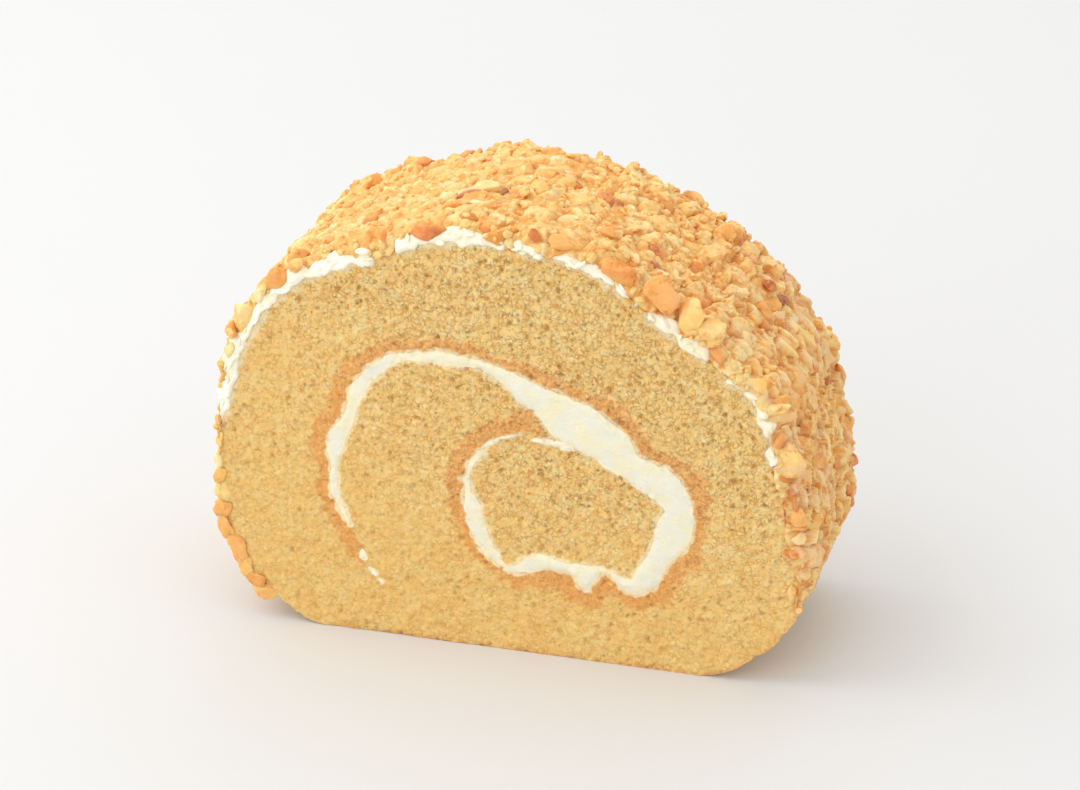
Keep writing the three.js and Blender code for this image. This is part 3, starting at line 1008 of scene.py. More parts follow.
def ball(levels):
    """Vertices and triangles of a ball of radius 1 from a subdivided icosahedron."""
    golden = (1 + math.sqrt(5)) / 2
    corners = []
    for a in (-1, 1):
        for b in (-golden, golden):
            corners += [(0, a, b), (a, b, 0), (b, 0, a)]
    spots = np.array(corners, float)
    spots /= np.linalg.norm(spots, axis=1)[:, None]
    gaps = np.linalg.norm(spots[:, None] - spots, axis=2)
    edge = np.min(gaps[gaps > 0.1]) * 1.01
    faces = []
    for i in range(12):
        for j in range(i + 1, 12):
            for k in range(j + 1, 12):
                if max(gaps[i, j], gaps[j, k], gaps[i, k]) < edge:
                    turn = np.dot(np.cross(spots[j] - spots[i], spots[k] - spots[i]), spots[i])
                    faces.append((i, j, k) if turn > 0 else (i, k, j))
    spots = [tuple(p) for p in spots]
    for _ in range(levels):
        middles, finer = {}, []

        def middle(a, b):
            key = (min(a, b), max(a, b))
            if key not in middles:
                p = np.add(spots[a], spots[b])
                middles[key] = len(spots)
                spots.append(tuple(p / np.linalg.norm(p)))
            return middles[key]

        for a, b, c in faces:
            ab, bc, ca = middle(a, b), middle(b, c), middle(c, a)
            finer += [(a, ab, ca), (b, bc, ab), (c, ca, bc), (ab, bc, ca)]
        faces = finer
    return np.array(spots), np.array(faces)


def chopped_shapes(seed, levels, kinds, sharpness, cuts=(6, 10), depth=(0.40, 0.85), rough=0.13):
    """Angular chips of about radius 1: a ball cut by random planes, with a rough surface."""
    rng = np.random.default_rng(seed)
    spots, faces = ball(levels)
    shapes = []
    for _ in range(kinds):
        normals = rng.normal(size=(rng.integers(*cuts), 3))
        normals /= np.linalg.norm(normals, axis=1)[:, None]
        depths = rng.uniform(*depth, len(normals))
        reach = np.maximum(spots @ normals.T, 0) / depths
        radius = ((reach**sharpness).sum(1) + 0.95**-sharpness) ** (-1 / sharpness)
        spot = rng.uniform(0, 30, 3)
        radius *= 1 + rough * noise(spots + spot, 0.6, seed + 1, 2)
        shapes.append(spots * radius[:, None])
    return np.array(shapes), faces


def turns(axis, angle):
    """Rotation matrices about unit axes."""
    x, y, z = axis.T
    c, s = np.cos(angle), np.sin(angle)
    k = 1 - c
    return np.stack(
        [
            np.stack([c + x * x * k, x * y * k - z * s, x * z * k + y * s], axis=1),
            np.stack([y * x * k + z * s, c + y * y * k, y * z * k - x * s], axis=1),
            np.stack([z * x * k - y * s, z * y * k + x * s, c + z * z * k], axis=1),
        ],
        axis=1,
    )


def scattered(ridge, gap, rng, tries, margin):
    """Places along and through the crust, no two closer than gap."""
    kept, grid = [], {}
    for _ in range(tries):
        along = rng.uniform(0, ridge.length)
        y = rng.uniform(-HALF_DEPTH + margin, HALF_DEPTH - margin)
        key = (int(along // gap), int((y + 100) // gap))
        near = [p for i, j in product(AROUND, AROUND) for p in grid.get((key[0] + i, key[1] + j), ())]
        if all((along - a) ** 2 + (y - b) ** 2 > gap * gap for a, b in near):
            grid.setdefault(key, []).append((along, y))
            kept.append((along, y))
    return np.array(kept)


def laid_pieces(shapes, faces, frames, centres, size, flat, tilt, rng, spin=None, narrow=None, free=0.4):
    """Pieces at their centres, in frames whose third axis is out of the crust.

    free is how much of each stands clear of what it is sunk in.
    Returns their vertices and faces, a random tone, and how deep each vertex is sunk, from 0 to 1, which
    the material paints as shade.
    """
    count = len(centres)
    if spin is None:
        spin = rng.uniform(0, 2 * math.pi, count)
    if narrow is None:
        narrow = rng.uniform(0.60, 0.95, count)
    lengths = np.column_stack([np.ones(count), narrow, flat]) * (size / 2)[:, None] * 1.25
    about = turns(np.tile([0.0, 0.0, 1.0], (count, 1)), spin)
    lean = rng.uniform(0, 2 * math.pi, count)
    tip = turns(np.column_stack([np.cos(lean), np.sin(lean), np.zeros(count)]), rng.normal(0, tilt, count))
    chosen = shapes[rng.integers(0, len(shapes), count)] * lengths[:, None, :]
    spots = np.einsum("nij,nvj->nvi", frames @ tip @ about, chosen)
    rise = np.einsum("nvi,ni->nv", spots, frames[:, :, 2])
    sunk = smoothstep(-0.40, 0.35, rise.max(1)[:, None] - rise - np.reshape(free, (-1, 1)))
    spots = spots + centres[:, None, :]
    per = shapes.shape[1]
    triangles = faces[None] + (np.arange(count) * per)[:, None, None]
    tone = np.repeat(rng.random(count), per)
    return spots.reshape(-1, 3), triangles.reshape(-1, 3), tone, sunk.ravel()


class Nuts:
    """The chopped nuts on the bed, dealt out to kinds by colour as they are laid."""

    def __init__(self, ridge, bed):
        self.ridge = ridge
        self.rng = np.random.default_rng(SEED + 5)
        self.kinds = {kind: [] for kind in (*NUT_TONES, "crumbs")}
        self.large = chopped_shapes(701, levels=2, kinds=60, sharpness=16)
        self.small = chopped_shapes(702, levels=1, kinds=40, sharpness=14)
        self.blunt = chopped_shapes(703, levels=3, kinds=44, sharpness=18, depth=(0.45, 0.85), rough=0.24)
        self.dust = chopped_shapes(704, levels=0, kinds=40, sharpness=10, cuts=(4, 7), depth=(0.55, 0.90))
        corners = np.empty(len(bed.data.loops), np.int32)
        bed.data.loops.foreach_get("vertex_index", corners)
        self.solids = [(points_of(bed.data), corners.reshape(-1, 3))]

    def surface(self):
        """What has been laid so far, for rays to meet."""
        vertices, faces = joined(self.solids)
        return BVHTree.FromPolygons(vertices.tolist(), faces.tolist(), all_triangles=True)

    def top(self, tree, along, y):
        """Where the surface is, straight in from outside the crust, and whether it is there."""
        start = self.ridge.place(along, y, RAY_START)
        inward = -self.ridge.turn(along)[:, :, 2]
        met = [tree.ray_cast(Vector(a), Vector(b), RAY_START) for a, b in zip(start, inward)]
        spots = np.array([tuple(hit[0]) if hit[0] else (0.0, 0.0, 0.0) for hit in met])
        return spots, -inward, np.array([hit[0] is not None for hit in met])

    def kind_of(self, spots):
        """A kind for each spot: mostly pale on the top left, more toasted towards the right."""
        drawn = self.rng.random(len(spots)) + 0.12 * noise(spots, 9.0, 711)
        right = smoothstep(5, 40, spots[:, 0])
        bounds = np.column_stack(
            [0.44 - 0.12 * right, 0.82 - 0.18 * right, 1.02 - 0.06 * right, 1.30 - 0.10 * right]
        )
        return (drawn[:, None] > bounds).sum(1)

    def lay(self, which, shapes, frames, centres, size, flat, tilt, solid=True, **options):
        """Add pieces: which is a kind's number for each."""
        for k, kind in enumerate(self.kinds):
            pick = which == k
            if pick.any():
                chosen = {key: value[pick] for key, value in options.items()}
                v, f, t, d = laid_pieces(
                    *shapes, frames[pick], centres[pick], size[pick], flat[pick], tilt, self.rng, **chosen
                )
                if kind == "crumbs":
                    t = np.clip(0.35 * t + 0.33 + 0.6 * noise(v, 2.6, 713, 2), 0, 1)
                self.kinds[kind].append((v, f, t, d))
                if solid:
                    self.solids.append((v, f))

    def settled(self, gap, tries, margin, keep_rim):
        """Places along and through the crust, few of them in front of the bed's own rim."""
        places = scattered(self.ridge, gap, self.rng, tries, margin)
        along, y = places.T
        rim = HALF_DEPTH - np.abs(y)
        bare = np.where(y < 0, bare_rim(self.ridge, along, -1), bare_rim(self.ridge, along, 1))
        kept = (rim > bare + 0.2) | (self.rng.random(len(places)) < keep_rim)
        clear = np.ones(len(places), bool)
        known = [(x, z, depth, length, 1.0) for _, x, z, depth, length, *_ in LANDMARKS]
        known += [(x, z, 0.0, length, 1.5) for _, x, z, length, *_ in FACING]
        for x, z, depth, length, stretch in known:
            away = np.hypot(along - self.ridge.nearest(x, z), stretch * (y + HALF_DEPTH - depth))
            clear &= away > length / 2 + 0.3 * gap
        return places[kept & clear]

    def chunks(self, gap, tries, sizes, stand, keep_rim):
        """Large pieces, sunk into the bed so that each stands out by stand, lowest to highest."""
        places = self.settled(gap, tries, 0.5, keep_rim)
        along, y = places.T
        size = self.rng.uniform(*sizes, len(places))
        right = smoothstep(30, 42, self.ridge.place(along, y, 0)[:, 0])
        crust = crust_thickness(self.ridge, along, y)
        size *= 0.60 + 0.40 * np.clip(crust / 1.2, 0, 1)
        flat = self.rng.uniform(0.42, 0.75, len(places)) * (1 - 0.4 * right)
        out = self.rng.uniform(*stand, len(places)) * (1 - 0.5 * right)
        height = coat_thickness(self.ridge, along, y) + crust + out - 0.5 * flat * size
        centres = self.ridge.place(along, y, height)
        frames = self.ridge.turn(along)
        self.lay(self.kind_of(centres), self.large, frames, centres, size, flat, 0.25, free=out)

    def read(self, table):
        """A table's columns: the kinds' numbers, how far along the ridge the pieces are, and the rest."""
        names, x, z, *rest = (np.array(column) for column in zip(*table))
        which = np.array([list(self.kinds).index(name) for name in names])
        return which, np.array([self.ridge.nearest(*p) for p in zip(x, z)]), x, z, *rest

    def landmarks(self):
        """The pieces on top of the crust that are known one by one."""
        which, along, _, _, depth, length, width, thick, angle = self.read(LANDMARKS)
        spots, out, found = self.top(self.surface(), along, depth - HALF_DEPTH)
        bare = self.ridge.place(along, depth - HALF_DEPTH, BARE_SEAT)
        spots = np.where(found[:, None], spots, bare)
        centres = spots - out * (0.06 * thick)[:, None]
        self.lay(
            which, self.blunt, self.ridge.turn(along), centres, length, thick / length, 0.08,
            spin=np.radians(angle), narrow=width / length, free=0.6 * thick,
        )

    def facing(self):
        """The pieces known one by one that show flat in the front cut of the crust.

        One that would stand clear of the crust reaches further in, until it is sunk in it.
        """
        which, along, x, z, length, width, thick, angle = self.read(FACING)
        count = len(along)
        behind = np.full(count, FACING_CARRIED - HALF_DEPTH)
        spots, out, found = self.top(self.surface(), along, behind)
        foot = self.ridge.place(along, behind, 0)
        carried = ((spots - foot) * out).sum(1)
        carried = np.where(found, carried, coat_thickness(self.ridge, along, behind))
        height = ((np.column_stack([x, behind, z]) - foot) * out).sum(1)
        clear = np.maximum(height - 0.1 * width - carried, 0)
        x, z = x - 0.5 * clear * out[:, 0], z - 0.5 * clear * out[:, 2]
        width = width + clear
        y = 0.5 * thick - FACING_PROUD - HALF_DEPTH
        run, rise, none = np.cos(np.radians(angle)), np.sin(np.radians(angle)), np.zeros(count)
        frames = np.stack(
            [
                np.column_stack([run, none, rise]),
                np.column_stack([-rise, none, run]),
                np.tile([0.0, -1.0, 0.0], (count, 1)),
            ],
            axis=2,
        )
        centres = np.column_stack([x, y, z])
        self.lay(
            which, self.blunt, frames, centres, length, thick / length, 0.08,
            spin=none, narrow=width / length, free=0.7 * thick,
        )

    def crumbs(self, shapes, gap, tries, sizes, keep_rim):
        """Small bits, half sunk into whatever lies under them, and fewer down the right side."""
        along, y = self.settled(gap, tries, 0.05, keep_rim).T
        spots, out, found = self.top(self.surface(), along, y)
        found &= self.rng.random(len(along)) < 1 - 0.7 * smoothstep(26, 36, spots[:, 0])
        size = self.rng.uniform(*sizes, len(along))
        flat = self.rng.uniform(*CRUMB_FLATNESS, len(along))
        centres = spots - out * (0.12 * size)[:, None]
        frames = self.ridge.turn(along)
        which = np.full(found.sum(), CRUMBS)
        self.lay(
            which, shapes, frames[found], centres[found], size[found], flat[found], 0.9,
            solid=False, free=0.4 * size[found],
        )

    def rim_crumbs(self, side, count, sizes):
        """Bits stuck to the cut edge of the icing and of the nuts."""
        along = self.rng.uniform(1, self.ridge.length - 1, count)
        y = np.full(count, float(side * HALF_DEPTH))
        icing = self.ridge.cut_icing(along, y)
        crust = crust_thickness(self.ridge, along, y)
        height = 0.7 * icing + (crust + 0.3 * icing) * self.rng.random(count)
        start = self.ridge.place(along, y + side * RAY_START, height)
        tree = self.surface()
        met = [tree.ray_cast(Vector(a), Vector((0, -side, 0)), RAY_START + 2.5) for a in start]
        kept = self.rng.random(count) < 0.2 + 0.8 * smoothstep(20, 48, start[:, 2])
        found = np.array([hit[0] is not None for hit in met]) & kept
        if side < 0:
            for _, x, z, length, *_ in FACING:
                found &= np.hypot(start[:, 0] - x, start[:, 2] - z) > 0.6 * length
        spots = np.array([tuple(hit[0]) for hit, use in zip(met, found) if use])
        frames = self.ridge.turn(along[found])
        size = self.rng.uniform(*sizes, len(spots))
        flat = self.rng.uniform(*CRUMB_FLATNESS, len(spots))
        which = np.full(len(spots), CRUMBS)
        self.lay(which, self.small, frames, spots, size, flat, 1.2, solid=False, free=size)

    def pieces(self, materials):
        """One piece of the model for each kind."""
        made = []
        for kind, parts in self.kinds.items():
            vertices, faces = joined([part[:2] for part in parts])
            vertices[:, 2] = np.maximum(vertices[:, 2], NUTS_LOWEST)
            tone, sunk = (np.concatenate([part[k] for part in parts]) for k in (2, 3))
            # crevice is painted shade low on each piece, where it is sunk
            values = {"tone": tone, "crevice": sunk}
            name = "nuts_" + kind
            made.append(mesh_object(name, vertices, faces, materials[kind], values, crisp=NUT_CREASE))
        return made


def icing_lumps(ridge, material):
    """Soft lumps of icing along both cuts, which make the band's edge uneven."""
    rng = np.random.default_rng(SEED + 9)
    shapes, faces = chopped_shapes(721, levels=2, kinds=30, sharpness=4, cuts=(5, 9), depth=(0.60, 0.95))
    along = rng.uniform(4, ridge.length - 4, 200)
    side = np.where(rng.random(len(along)) < 0.55, -1.0, 1.0)
    icing = ridge.cut_icing(along, side)
    kept = icing > 0.45
    along, side, icing = along[kept], side[kept], icing[kept]
    size = rng.uniform(1.0, 2.4, len(along)) * np.clip(icing, 0.5, 1)
    height = icing * rng.uniform(-0.10, 0.85, len(along))
    centres = ridge.place(along, side * (HALF_DEPTH - rng.uniform(0.1, 0.5, len(along))), height)
    flat = rng.uniform(0.28, 0.45, len(along))
    vertices, triangles, *_ = laid_pieces(shapes, faces, ridge.turn(along), centres, size, flat, 0.5, rng)
    # the lumps get the same painted shade down the right side
    return mesh_object("icing_lumps", vertices, triangles, material, {"edge": right_shade(vertices[:, 0])})


def streak_piece(material):
    """Thin streaks of cream on the front cut, along the fold."""
    spots, faces = ball(3)
    parts = []
    for k, (x, z, length, width, angle) in enumerate(STREAKS):
        size = 1 + 0.30 * noise(spots + 5.0 * k, 0.7, 801, 2)
        chip = spots * size[:, None] * (length / 2 * 1.15, STREAK_THICKNESS, width / 2 * 1.15)
        turned = turns(np.array([[0.0, -1.0, 0.0]]), np.radians([angle]))[0]
        chip = chip @ turned.T + (x, -HALF_DEPTH, z)
        chip[:, 1] -= crumb_relief(chip[:, [0, 2]], FRONT_SEED)[0]
        parts.append((chip, faces))
    vertices, triangles = joined(parts)
    thin = {"edge": np.full(len(vertices), STREAK_EDGE)}
    return mesh_object("cream_streaks", vertices, triangles, material, thin)


# ---------------------------------------------------------------- materials


MIX_A, MIX_B, MIX_RESULT = 6, 7, 2  # a mix node's sockets for colours


class Nodes:
    """A short way to build a material's nodes."""

    def __init__(self, name):
        self.material = bpy.data.materials.new(name)
        self.material.use_nodes = True
        self.tree = self.material.node_tree
        self.shader = self.tree.nodes["Principled BSDF"]
        coordinates = self.tree.nodes.new("ShaderNodeTexCoord")
        scale = self.tree.nodes.new("ShaderNodeVectorMath")
        scale.operation = "SCALE"
        scale.inputs["Scale"].default_value = 1 / MM
        self.tree.links.new(coordinates.outputs["Object"], scale.inputs[0])
        self.place = scale.outputs[0]

    def node(self, kind, **inputs):
        """A new node with these inputs, in whose names _ stands for a space."""
        made = self.tree.nodes.new(kind)
        for key, value in inputs.items():
            self.put(made.inputs[key.replace("_", " ")], value)
        return made

    def put(self, socket, value):
        """Link a socket, or set it to a number or a colour."""
        if isinstance(value, bpy.types.NodeSocket):
            self.tree.links.new(value, socket)
        elif isinstance(value, tuple) and len(value) == 3 and socket.type == "RGBA":
            socket.default_value = (*value, 1.0)
        else:
            socket.default_value = value

    def noise(self, size, detail, roughness=0.5):
        """Noise from 0 to 1 with features about size millimetres across."""
        return self.node(
            "ShaderNodeTexNoise", Vector=self.place, Scale=1 / size, Detail=detail, Roughness=roughness
        ).outputs["Fac"]

    def waver(self, amount, size, detail, roughness):
        """The same noise about 0, half of amount either way."""
        return self.times(self.plus(self.noise(size, detail, roughness), -0.5), amount)

    def axis(self, name):
        """One coordinate of the place, in millimetres."""
        return self.node("ShaderNodeSeparateXYZ", Vector=self.place).outputs[name]

    def value(self, name):
        """One of the numbers that mesh_object() gave the vertices."""
        made = self.tree.nodes.new("ShaderNodeAttribute")
        made.attribute_name = name
        return made.outputs["Fac"]

    def math(self, operation, a, b):
        made = self.tree.nodes.new("ShaderNodeMath")
        made.operation = operation
        self.put(made.inputs[0], a)
        self.put(made.inputs[1], b)
        return made.outputs[0]

    def times(self, a, b):
        return self.math("MULTIPLY", a, b)

    def plus(self, a, b):
        return self.math("ADD", a, b)

    def stirred(self, size):
        """The place, moved about by up to about half of size, so that cells lose their straight sides."""
        wave = self.node("ShaderNodeTexNoise", Vector=self.place, Scale=1 / size, Detail=2.0)
        moved = self.tree.nodes.new("ShaderNodeVectorMath")
        moved.operation = "MULTIPLY_ADD"
        self.put(moved.inputs[0], wave.outputs["Color"])
        moved.inputs[1].default_value = (size, size, size)
        self.put(moved.inputs[2], self.place)
        return moved.outputs[0]

    def grains(self, size):
        """Rounded grains, 1 at their tops, and the creases between them, 1 along their lines."""
        place = self.stirred(size)
        near = self.node("ShaderNodeTexVoronoi", Vector=place, Scale=1 / size).outputs["Distance"]
        seams = self.tree.nodes.new("ShaderNodeTexVoronoi")
        seams.feature = "DISTANCE_TO_EDGE"
        self.put(seams.inputs["Vector"], place)
        self.put(seams.inputs["Scale"], 1 / size)
        creases = self.between(seams.outputs["Distance"], 0.02, 0.16, 1, 0)
        return self.between(near, 0.05, 0.70, 1, 0), creases

    def pits(self, size, closed):
        """Small dark hollows, 1 in their middles, in the share of scattered cells that isn't closed."""
        made = self.node("ShaderNodeTexVoronoi", Vector=self.stirred(size), Scale=1 / size)
        drawn = self.node("ShaderNodeSeparateColor", Color=made.outputs["Color"]).outputs["Red"]
        hollow = self.between(made.outputs["Distance"], 0.08, 0.36, 1, 0)
        return self.times(hollow, self.between(drawn, closed, closed + 0.15))

    def between(self, value, low, high, to_low=0.0, to_high=1.0):
        """to_low below low, to_high above high, and a smooth change between them."""
        made = self.tree.nodes.new("ShaderNodeMapRange")
        made.interpolation_type = "SMOOTHSTEP"
        for key, number in zip(("Value", "From Min", "From Max", "To Min", "To Max"),
                               (value, low, high, to_low, to_high)):
            self.put(made.inputs[key], number)
        return made.outputs["Result"]

    def mix(self, share, a, b, blend="MIX"):
        """Colour a with a share of colour b in it."""
        made = self.tree.nodes.new("ShaderNodeMix")
        made.data_type = "RGBA"
        made.blend_type = blend
        self.put(made.inputs["Factor"], share)
        self.put(made.inputs[MIX_A], a)
        self.put(made.inputs[MIX_B], b)
        return made.outputs[MIX_RESULT]

    def bump(self, height, depth, strength):
        """A bump whose full height is depth millimetres."""
        return self.node(
            "ShaderNodeBump", Height=height, Distance=depth * MM, Strength=strength
        ).outputs["Normal"]

    def finish(self, colour, roughness, normal, subsurface=0.0, radius=(1, 1, 1), reach=1.0, specular=0.5):
        """The material. Light goes reach millimetres into it, for each colour times its radius."""
        s = self.shader.inputs
        self.put(s["Base Color"], colour)
        self.put(s["Roughness"], roughness)
        self.put(s["Normal"], normal)
        self.put(s["Subsurface Weight"], subsurface)
        s["Subsurface Radius"].default_value = radius
        s["Subsurface Scale"].default_value = reach * MM
        s["Specular IOR Level"].default_value = specular
        return self.material


MEAN_LIGHT = 0.56  # of the crumb's grains, between its two lighter colours


def crumb_material():
    """Open crumb: light grains with a painted highlight on their tops, painted shade in its pores and
    creases, browned skin, and cream rubbed in at edges.
    """
    n = Nodes("sponge_crumb")
    pore, skin, grain, smear = (n.value(key) for key in ("pore", "skin", "grain", "smear"))
    fine = n.noise(0.45, 4, 0.7)
    tops, creases = n.grains(0.80)
    creases = n.times(creases, n.between(n.noise(1.1, 3, 0.6), 0.44, 0.56))
    pits = n.math("MAXIMUM", n.times(n.pits(0.95, 0.50), 0.9), n.pits(1.5, 0.58))
    even = n.value("even")
    force = n.plus(n.times(even, -0.50), 1.0)
    # painted highlight on the tops of the grains, added to their own random lightness and fine noise
    light = n.plus(n.plus(n.times(grain, 0.30), n.times(fine, 0.60)), n.times(tops, 0.22))
    light = n.plus(n.times(n.plus(light, -MEAN_LIGHT), force), MEAN_LIGHT)
    base = n.mix(n.between(light, 0.36, 0.80), CRUMB_MID, CRUMB_LIGHT)
    base = n.mix(n.between(n.noise(3.0, 3), 0.42, 0.62, 0, 0.45), base, CRUMB_WARM)
    # painted shade: pits, creases between grains and pores go dark, less where the crumb is even
    dark = n.math("MAXIMUM", n.math("MAXIMUM", pits, n.times(creases, 0.80)), n.times(pore, 0.7))
    dark = n.times(dark, force)
    base = n.mix(n.times(dark, 0.95), base, CRUMB_PAINTED_SHADE)
    ragged = n.plus(skin, n.waver(1.3, 0.55, 3, 0.6))
    browned = n.mix(n.between(fine, 0.40, 0.62), SKIN_DARK, SKIN_BROWN)
    # painted shade in the skin's pits and creases
    browned = n.mix(n.times(dark, 0.60), browned, SKIN_PAINTED_SHADE)
    base = n.mix(n.between(ragged, 0.15, 0.95, 0, 0.84), base, browned)
    base = n.mix(even, base, EVEN_TINT, "MULTIPLY")
    white = n.plus(smear, n.waver(0.7, 0.5, 3, 0.6))
    base = n.mix(n.between(white, 0.20, 0.90, 0, 0.80), base, FRINGE)
    height = n.plus(n.plus(n.times(fine, 0.9), n.times(tops, 0.8)), n.times(pits, -0.6))
    normal = n.bump(height, 0.42, force)
    return n.finish(
        base, 0.9, normal, subsurface=0.12, radius=(1.0, 0.55, 0.22), reach=0.35, specular=0.2
    )


def cream_material(name, white, shade_amount, relief, soft, reach):
    """Whipped cream. Light goes less deep into its thin edges, which it would leave grey."""
    n = Nodes(name)
    edge = n.value("edge")
    shade = n.between(n.noise(2.6, 3, 0.6), 0.44, 0.64, 0, shade_amount)
    colour = n.mix(shade, white, CREAM_SHADE)
    # the cream's thin edge, and on the icing painted shade down the right side
    colour = n.mix(n.times(edge, 0.85), colour, FRINGE)
    height = n.plus(n.noise(1.1, 5, 0.65), n.times(n.noise(0.35, 2), 0.4))
    normal = n.bump(height, relief, 0.9)
    roughness = n.between(n.noise(2.0, 2), 0.3, 0.7, 0.45, 0.65)
    depth = n.between(edge, 0.0, 0.5, soft, 0)
    return n.finish(
        colour, roughness, normal, subsurface=depth, radius=(1.0, 0.92, 0.8), reach=reach, specular=0.35
    )


def nut_material(name, tones, reach=0.9):
    """Nut flesh from pale to roasted: tones are its light, middle, dark and crevice colours. The crevice
    colour is painted shade where a piece sinks into what lies under it, and also that of roasted patches
    and specks.
    """
    light, middle, dark, crevice = tones
    n = Nodes("nut_" + name)
    share = n.plus(n.times(n.value("tone"), 0.75), n.waver(1.9, 2.0, 4, 0.65))
    share = n.plus(share, 0.1)
    colour = n.mix(n.between(share, 0.0, 0.5), light, middle)
    colour = n.mix(n.between(share, 0.5, 1.0), colour, dark)
    dull = n.between(n.noise(4.5, 3, 0.6), 0.46, 0.58, 0, 0.60)
    colour = n.mix(n.times(dull, n.between(n.axis("X"), 18.0, 36.0)), colour, NUT_TAN)
    roasted = n.between(n.noise(2.6, 4, 0.65), 0.52, 0.64, 0, 0.85)
    roasted = n.times(roasted, n.between(n.axis("X"), -20.0, 30.0, 0.40, 1.0))
    speck = n.between(n.noise(0.30, 3, 0.65), 0.28, 0.42, 0.2, 0)
    # painted shade in the crevices, in a warm colour, mixed with roasted patches and specks that are the
    # nut's own
    low = n.math("MAXIMUM", n.times(n.value("crevice"), 0.75), roasted)
    colour = n.mix(n.plus(speck, low), colour, crevice)
    height = n.plus(n.noise(0.6, 5, 0.7), n.times(n.noise(0.2, 2), 0.3))
    normal = n.bump(height, 0.17, 0.9)
    roughness = n.between(n.noise(0.9, 2), 0.3, 0.7, 0.45, 0.70)
    return n.finish(
        colour, roughness, normal, subsurface=0.5, radius=(1.0, 0.75, 0.5), reach=reach, specular=0.4
    )


def floor_material():
    """Matt white paint."""
    n = Nodes("floor_paint")
    colour = n.mix(n.noise(60.0, 2), FLOOR_WHITE, tuple(0.985 * c for c in FLOOR_WHITE))
    normal = n.bump(n.noise(0.8, 2), 0.01, 0.2)
    return n.finish(colour, 0.6, normal, specular=0.3)


# ---------------------------------------------------------------- the slice


def added(piece, node):
    """Take a piece into the part, in place of a CAD node."""
    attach(piece, "root")
    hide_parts(node)


sponge_outline = softened(cut_outline("sponge"), 0.8, EDGE_STEP)
ragged = (
    0.28 * noise(sponge_outline, 1.8, 51, 2)
    + 0.22 * noise(sponge_outline, 6.0, 52)
    + 0.12 * noise(sponge_outline, 0.7, 54)
) * smoothstep(0.3, 3.0, sponge_outline[:, 1])
sponge_outline = sponge_outline + outward(sponge_outline, closed=True) * ragged[:, None]

cream_outline = softened(cut_outline("cream_filling"), 0.38, EDGE_STEP)
wavy = 0.16 * noise(cream_outline, 1.3, 53, 2)
cream_outline = cream_outline + outward(cream_outline, closed=True) * wavy[:, None]
cream_outline = pinched(cream_outline)
cream_outline = cream_without_tail(start_at(cream_outline, TAIL_END), CREAM_TAIL)
bridge = int(np.argmin(np.hypot(*(cream_outline - BRIDGE_END).T)))
skin_line = np.vstack([SKIN_TAIL, cream_outline[: bridge + 1]])
cream_outline = without_tip(cream_outline, bridge)

ridge = Ridge(sponge_outline)
crumb = crumb_material()
added(sponge_piece(sponge_outline, cream_outline, skin_line, ridge, crumb), "sponge")
whipped = cream_material("whipped_cream", CREAM_WHITE, shade_amount=0.9, relief=0.26, soft=0.5, reach=1.2)
added(cream_piece(cream_outline, whipped), "cream_filling")
streaks = cream_material("cream_streaks", CREAM_WHITE, shade_amount=0.5, relief=0.14, soft=0.0, reach=1.0)
added(streak_piece(streaks), "cream_filling")

icing = cream_material("icing_cream", ICING_WHITE, shade_amount=0.6, relief=0.14, soft=0.15, reach=0.8)
added(coat_piece(ridge, icing), "cream_coat")
added(icing_lumps(ridge, icing), "cream_coat")
bed = bed_piece(ridge, nut_material("bed", BED_TONES))
added(bed, "nut_crust")

nuts = Nuts(ridge, bed)
nuts.landmarks()
nuts.facing()
nuts.chunks(gap=4.2, tries=3000, sizes=(3.4, 5.4), stand=(0.05, 0.50), keep_rim=0.15)
nuts.chunks(gap=2.9, tries=4000, sizes=(2.1, 3.4), stand=(0.00, 0.40), keep_rim=0.25)
nuts.crumbs(nuts.small, gap=1.8, tries=6000, sizes=(0.8, 1.7), keep_rim=0.3)
nuts.crumbs(nuts.dust, gap=1.2, tries=9000, sizes=(0.4, 0.9), keep_rim=0.3)
nuts.rim_crumbs(side=-1, count=260, sizes=(0.7, 1.8))
nuts.rim_crumbs(side=1, count=240, sizes=(0.7, 1.8))
nut_materials = {kind: nut_material(kind, tones) for kind, tones in NUT_TONES.items()}
nut_materials["crumbs"] = nut_material("crumbs", BED_TONES, 0.3)
for piece in nuts.pieces(nut_materials):
    added(piece, "nut_crust")

# ---------------------------------------------------------------- floor, light and camera

FLOOR_SIZE = 6.0  # in metres
WORLD_COLOUR = (1.0, 0.995, 0.985, 1)
WORLD_STRENGTH = 0.95

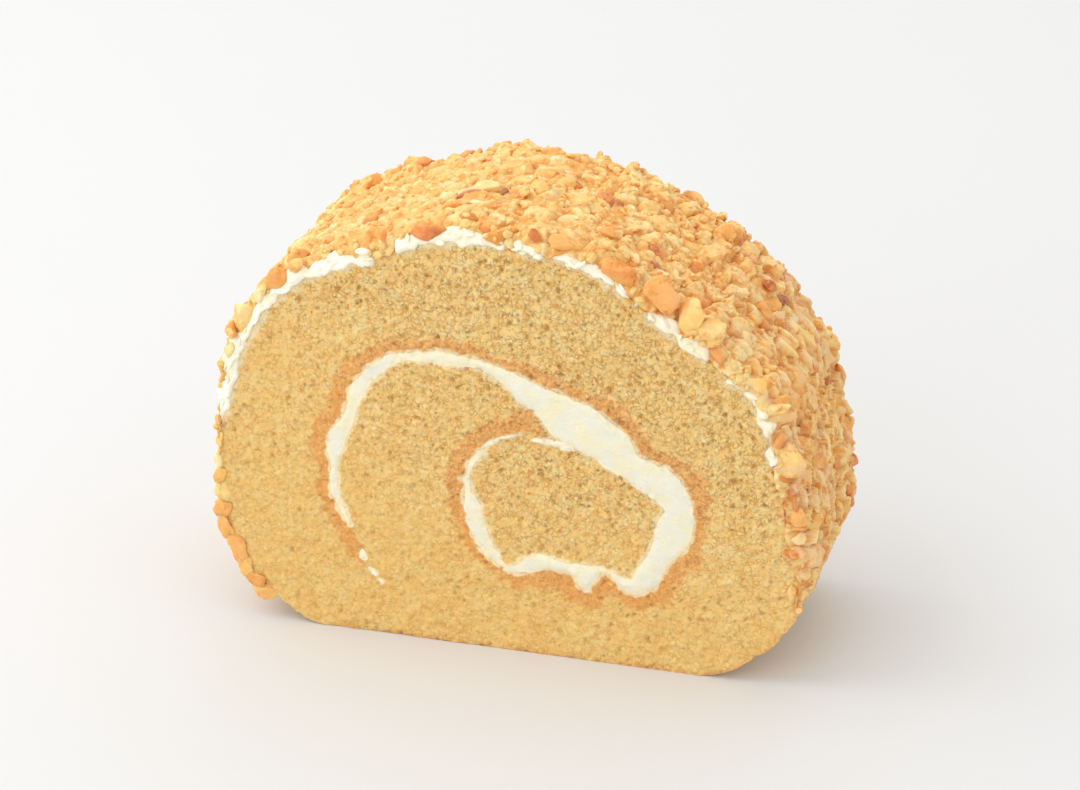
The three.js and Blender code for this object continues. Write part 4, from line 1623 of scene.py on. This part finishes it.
bpy.ops.mesh.primitive_grid_add(x_subdivisions=2, y_subdivisions=2, size=FLOOR_SIZE)
floor = bpy.context.object
floor.name = "floor"
floor.data.materials.append(floor_material())

scene = bpy.context.scene
scene.view_settings.view_transform = "Standard"
world = bpy.data.worlds.new("studio")
scene.world = world
world.use_nodes = True
sky = world.node_tree.nodes["Background"].inputs
sky["Color"].default_value = WORLD_COLOUR
sky["Strength"].default_value = WORLD_STRENGTH


def softbox(name, place, aim, size, power):
    """A square soft light, in metres and watts."""
    light = bpy.data.lights.new(name, "AREA")
    light.size = size
    light.energy = power
    lamp = bpy.data.objects.new(name, light)
    lamp.location = place
    lamp.rotation_mode = "QUATERNION"
    lamp.rotation_quaternion = (Vector(aim) - Vector(place)).to_track_quat("-Z", "Y")
    scene.collection.objects.link(lamp)


softbox("key", (-0.42, -0.12, 0.62), (0, 0, 0.03), 0.45, 1.5)
softbox("back", (-0.05, 0.6, 0.5), (0, 0, 0.03), 0.5, 0.4)
softbox("front", (-0.30, -0.80, 0.42), (0, 0, 0.03), 0.6, 1.5)
softbox("rim", (-0.55, 0.30, 0.30), (0, 0, 0.04), 0.4, 0.3)

CAMERA_AZIMUTH = math.radians(15.8)
CAMERA_ELEVATION = math.radians(24.55)
CAMERA_DISTANCE = 0.4856  # in metres
CAMERA_TARGET = Vector((5.2 * MM, -HALF_DEPTH * MM, 42.05 * MM))
FIELD_OF_VIEW = math.radians(18)
SENSOR_WIDTH = 36

camera = bpy.data.objects.new("camera", bpy.data.cameras.new("camera"))
camera.data.sensor_width = SENSOR_WIDTH
camera.data.lens = SENSOR_WIDTH / 2 / math.tan(FIELD_OF_VIEW / 2)
back = Vector((
    math.sin(CAMERA_AZIMUTH) * math.cos(CAMERA_ELEVATION),
    -math.cos(CAMERA_AZIMUTH) * math.cos(CAMERA_ELEVATION),
    math.sin(CAMERA_ELEVATION),
))
camera.location = CAMERA_TARGET + back * CAMERA_DISTANCE
camera.rotation_mode = "QUATERNION"
camera.rotation_quaternion = (-back).to_track_quat("-Z", "Y")
camera.data.clip_start, camera.data.clip_end = 0.01, 20
scene.collection.objects.link(camera)
scene.camera = camera
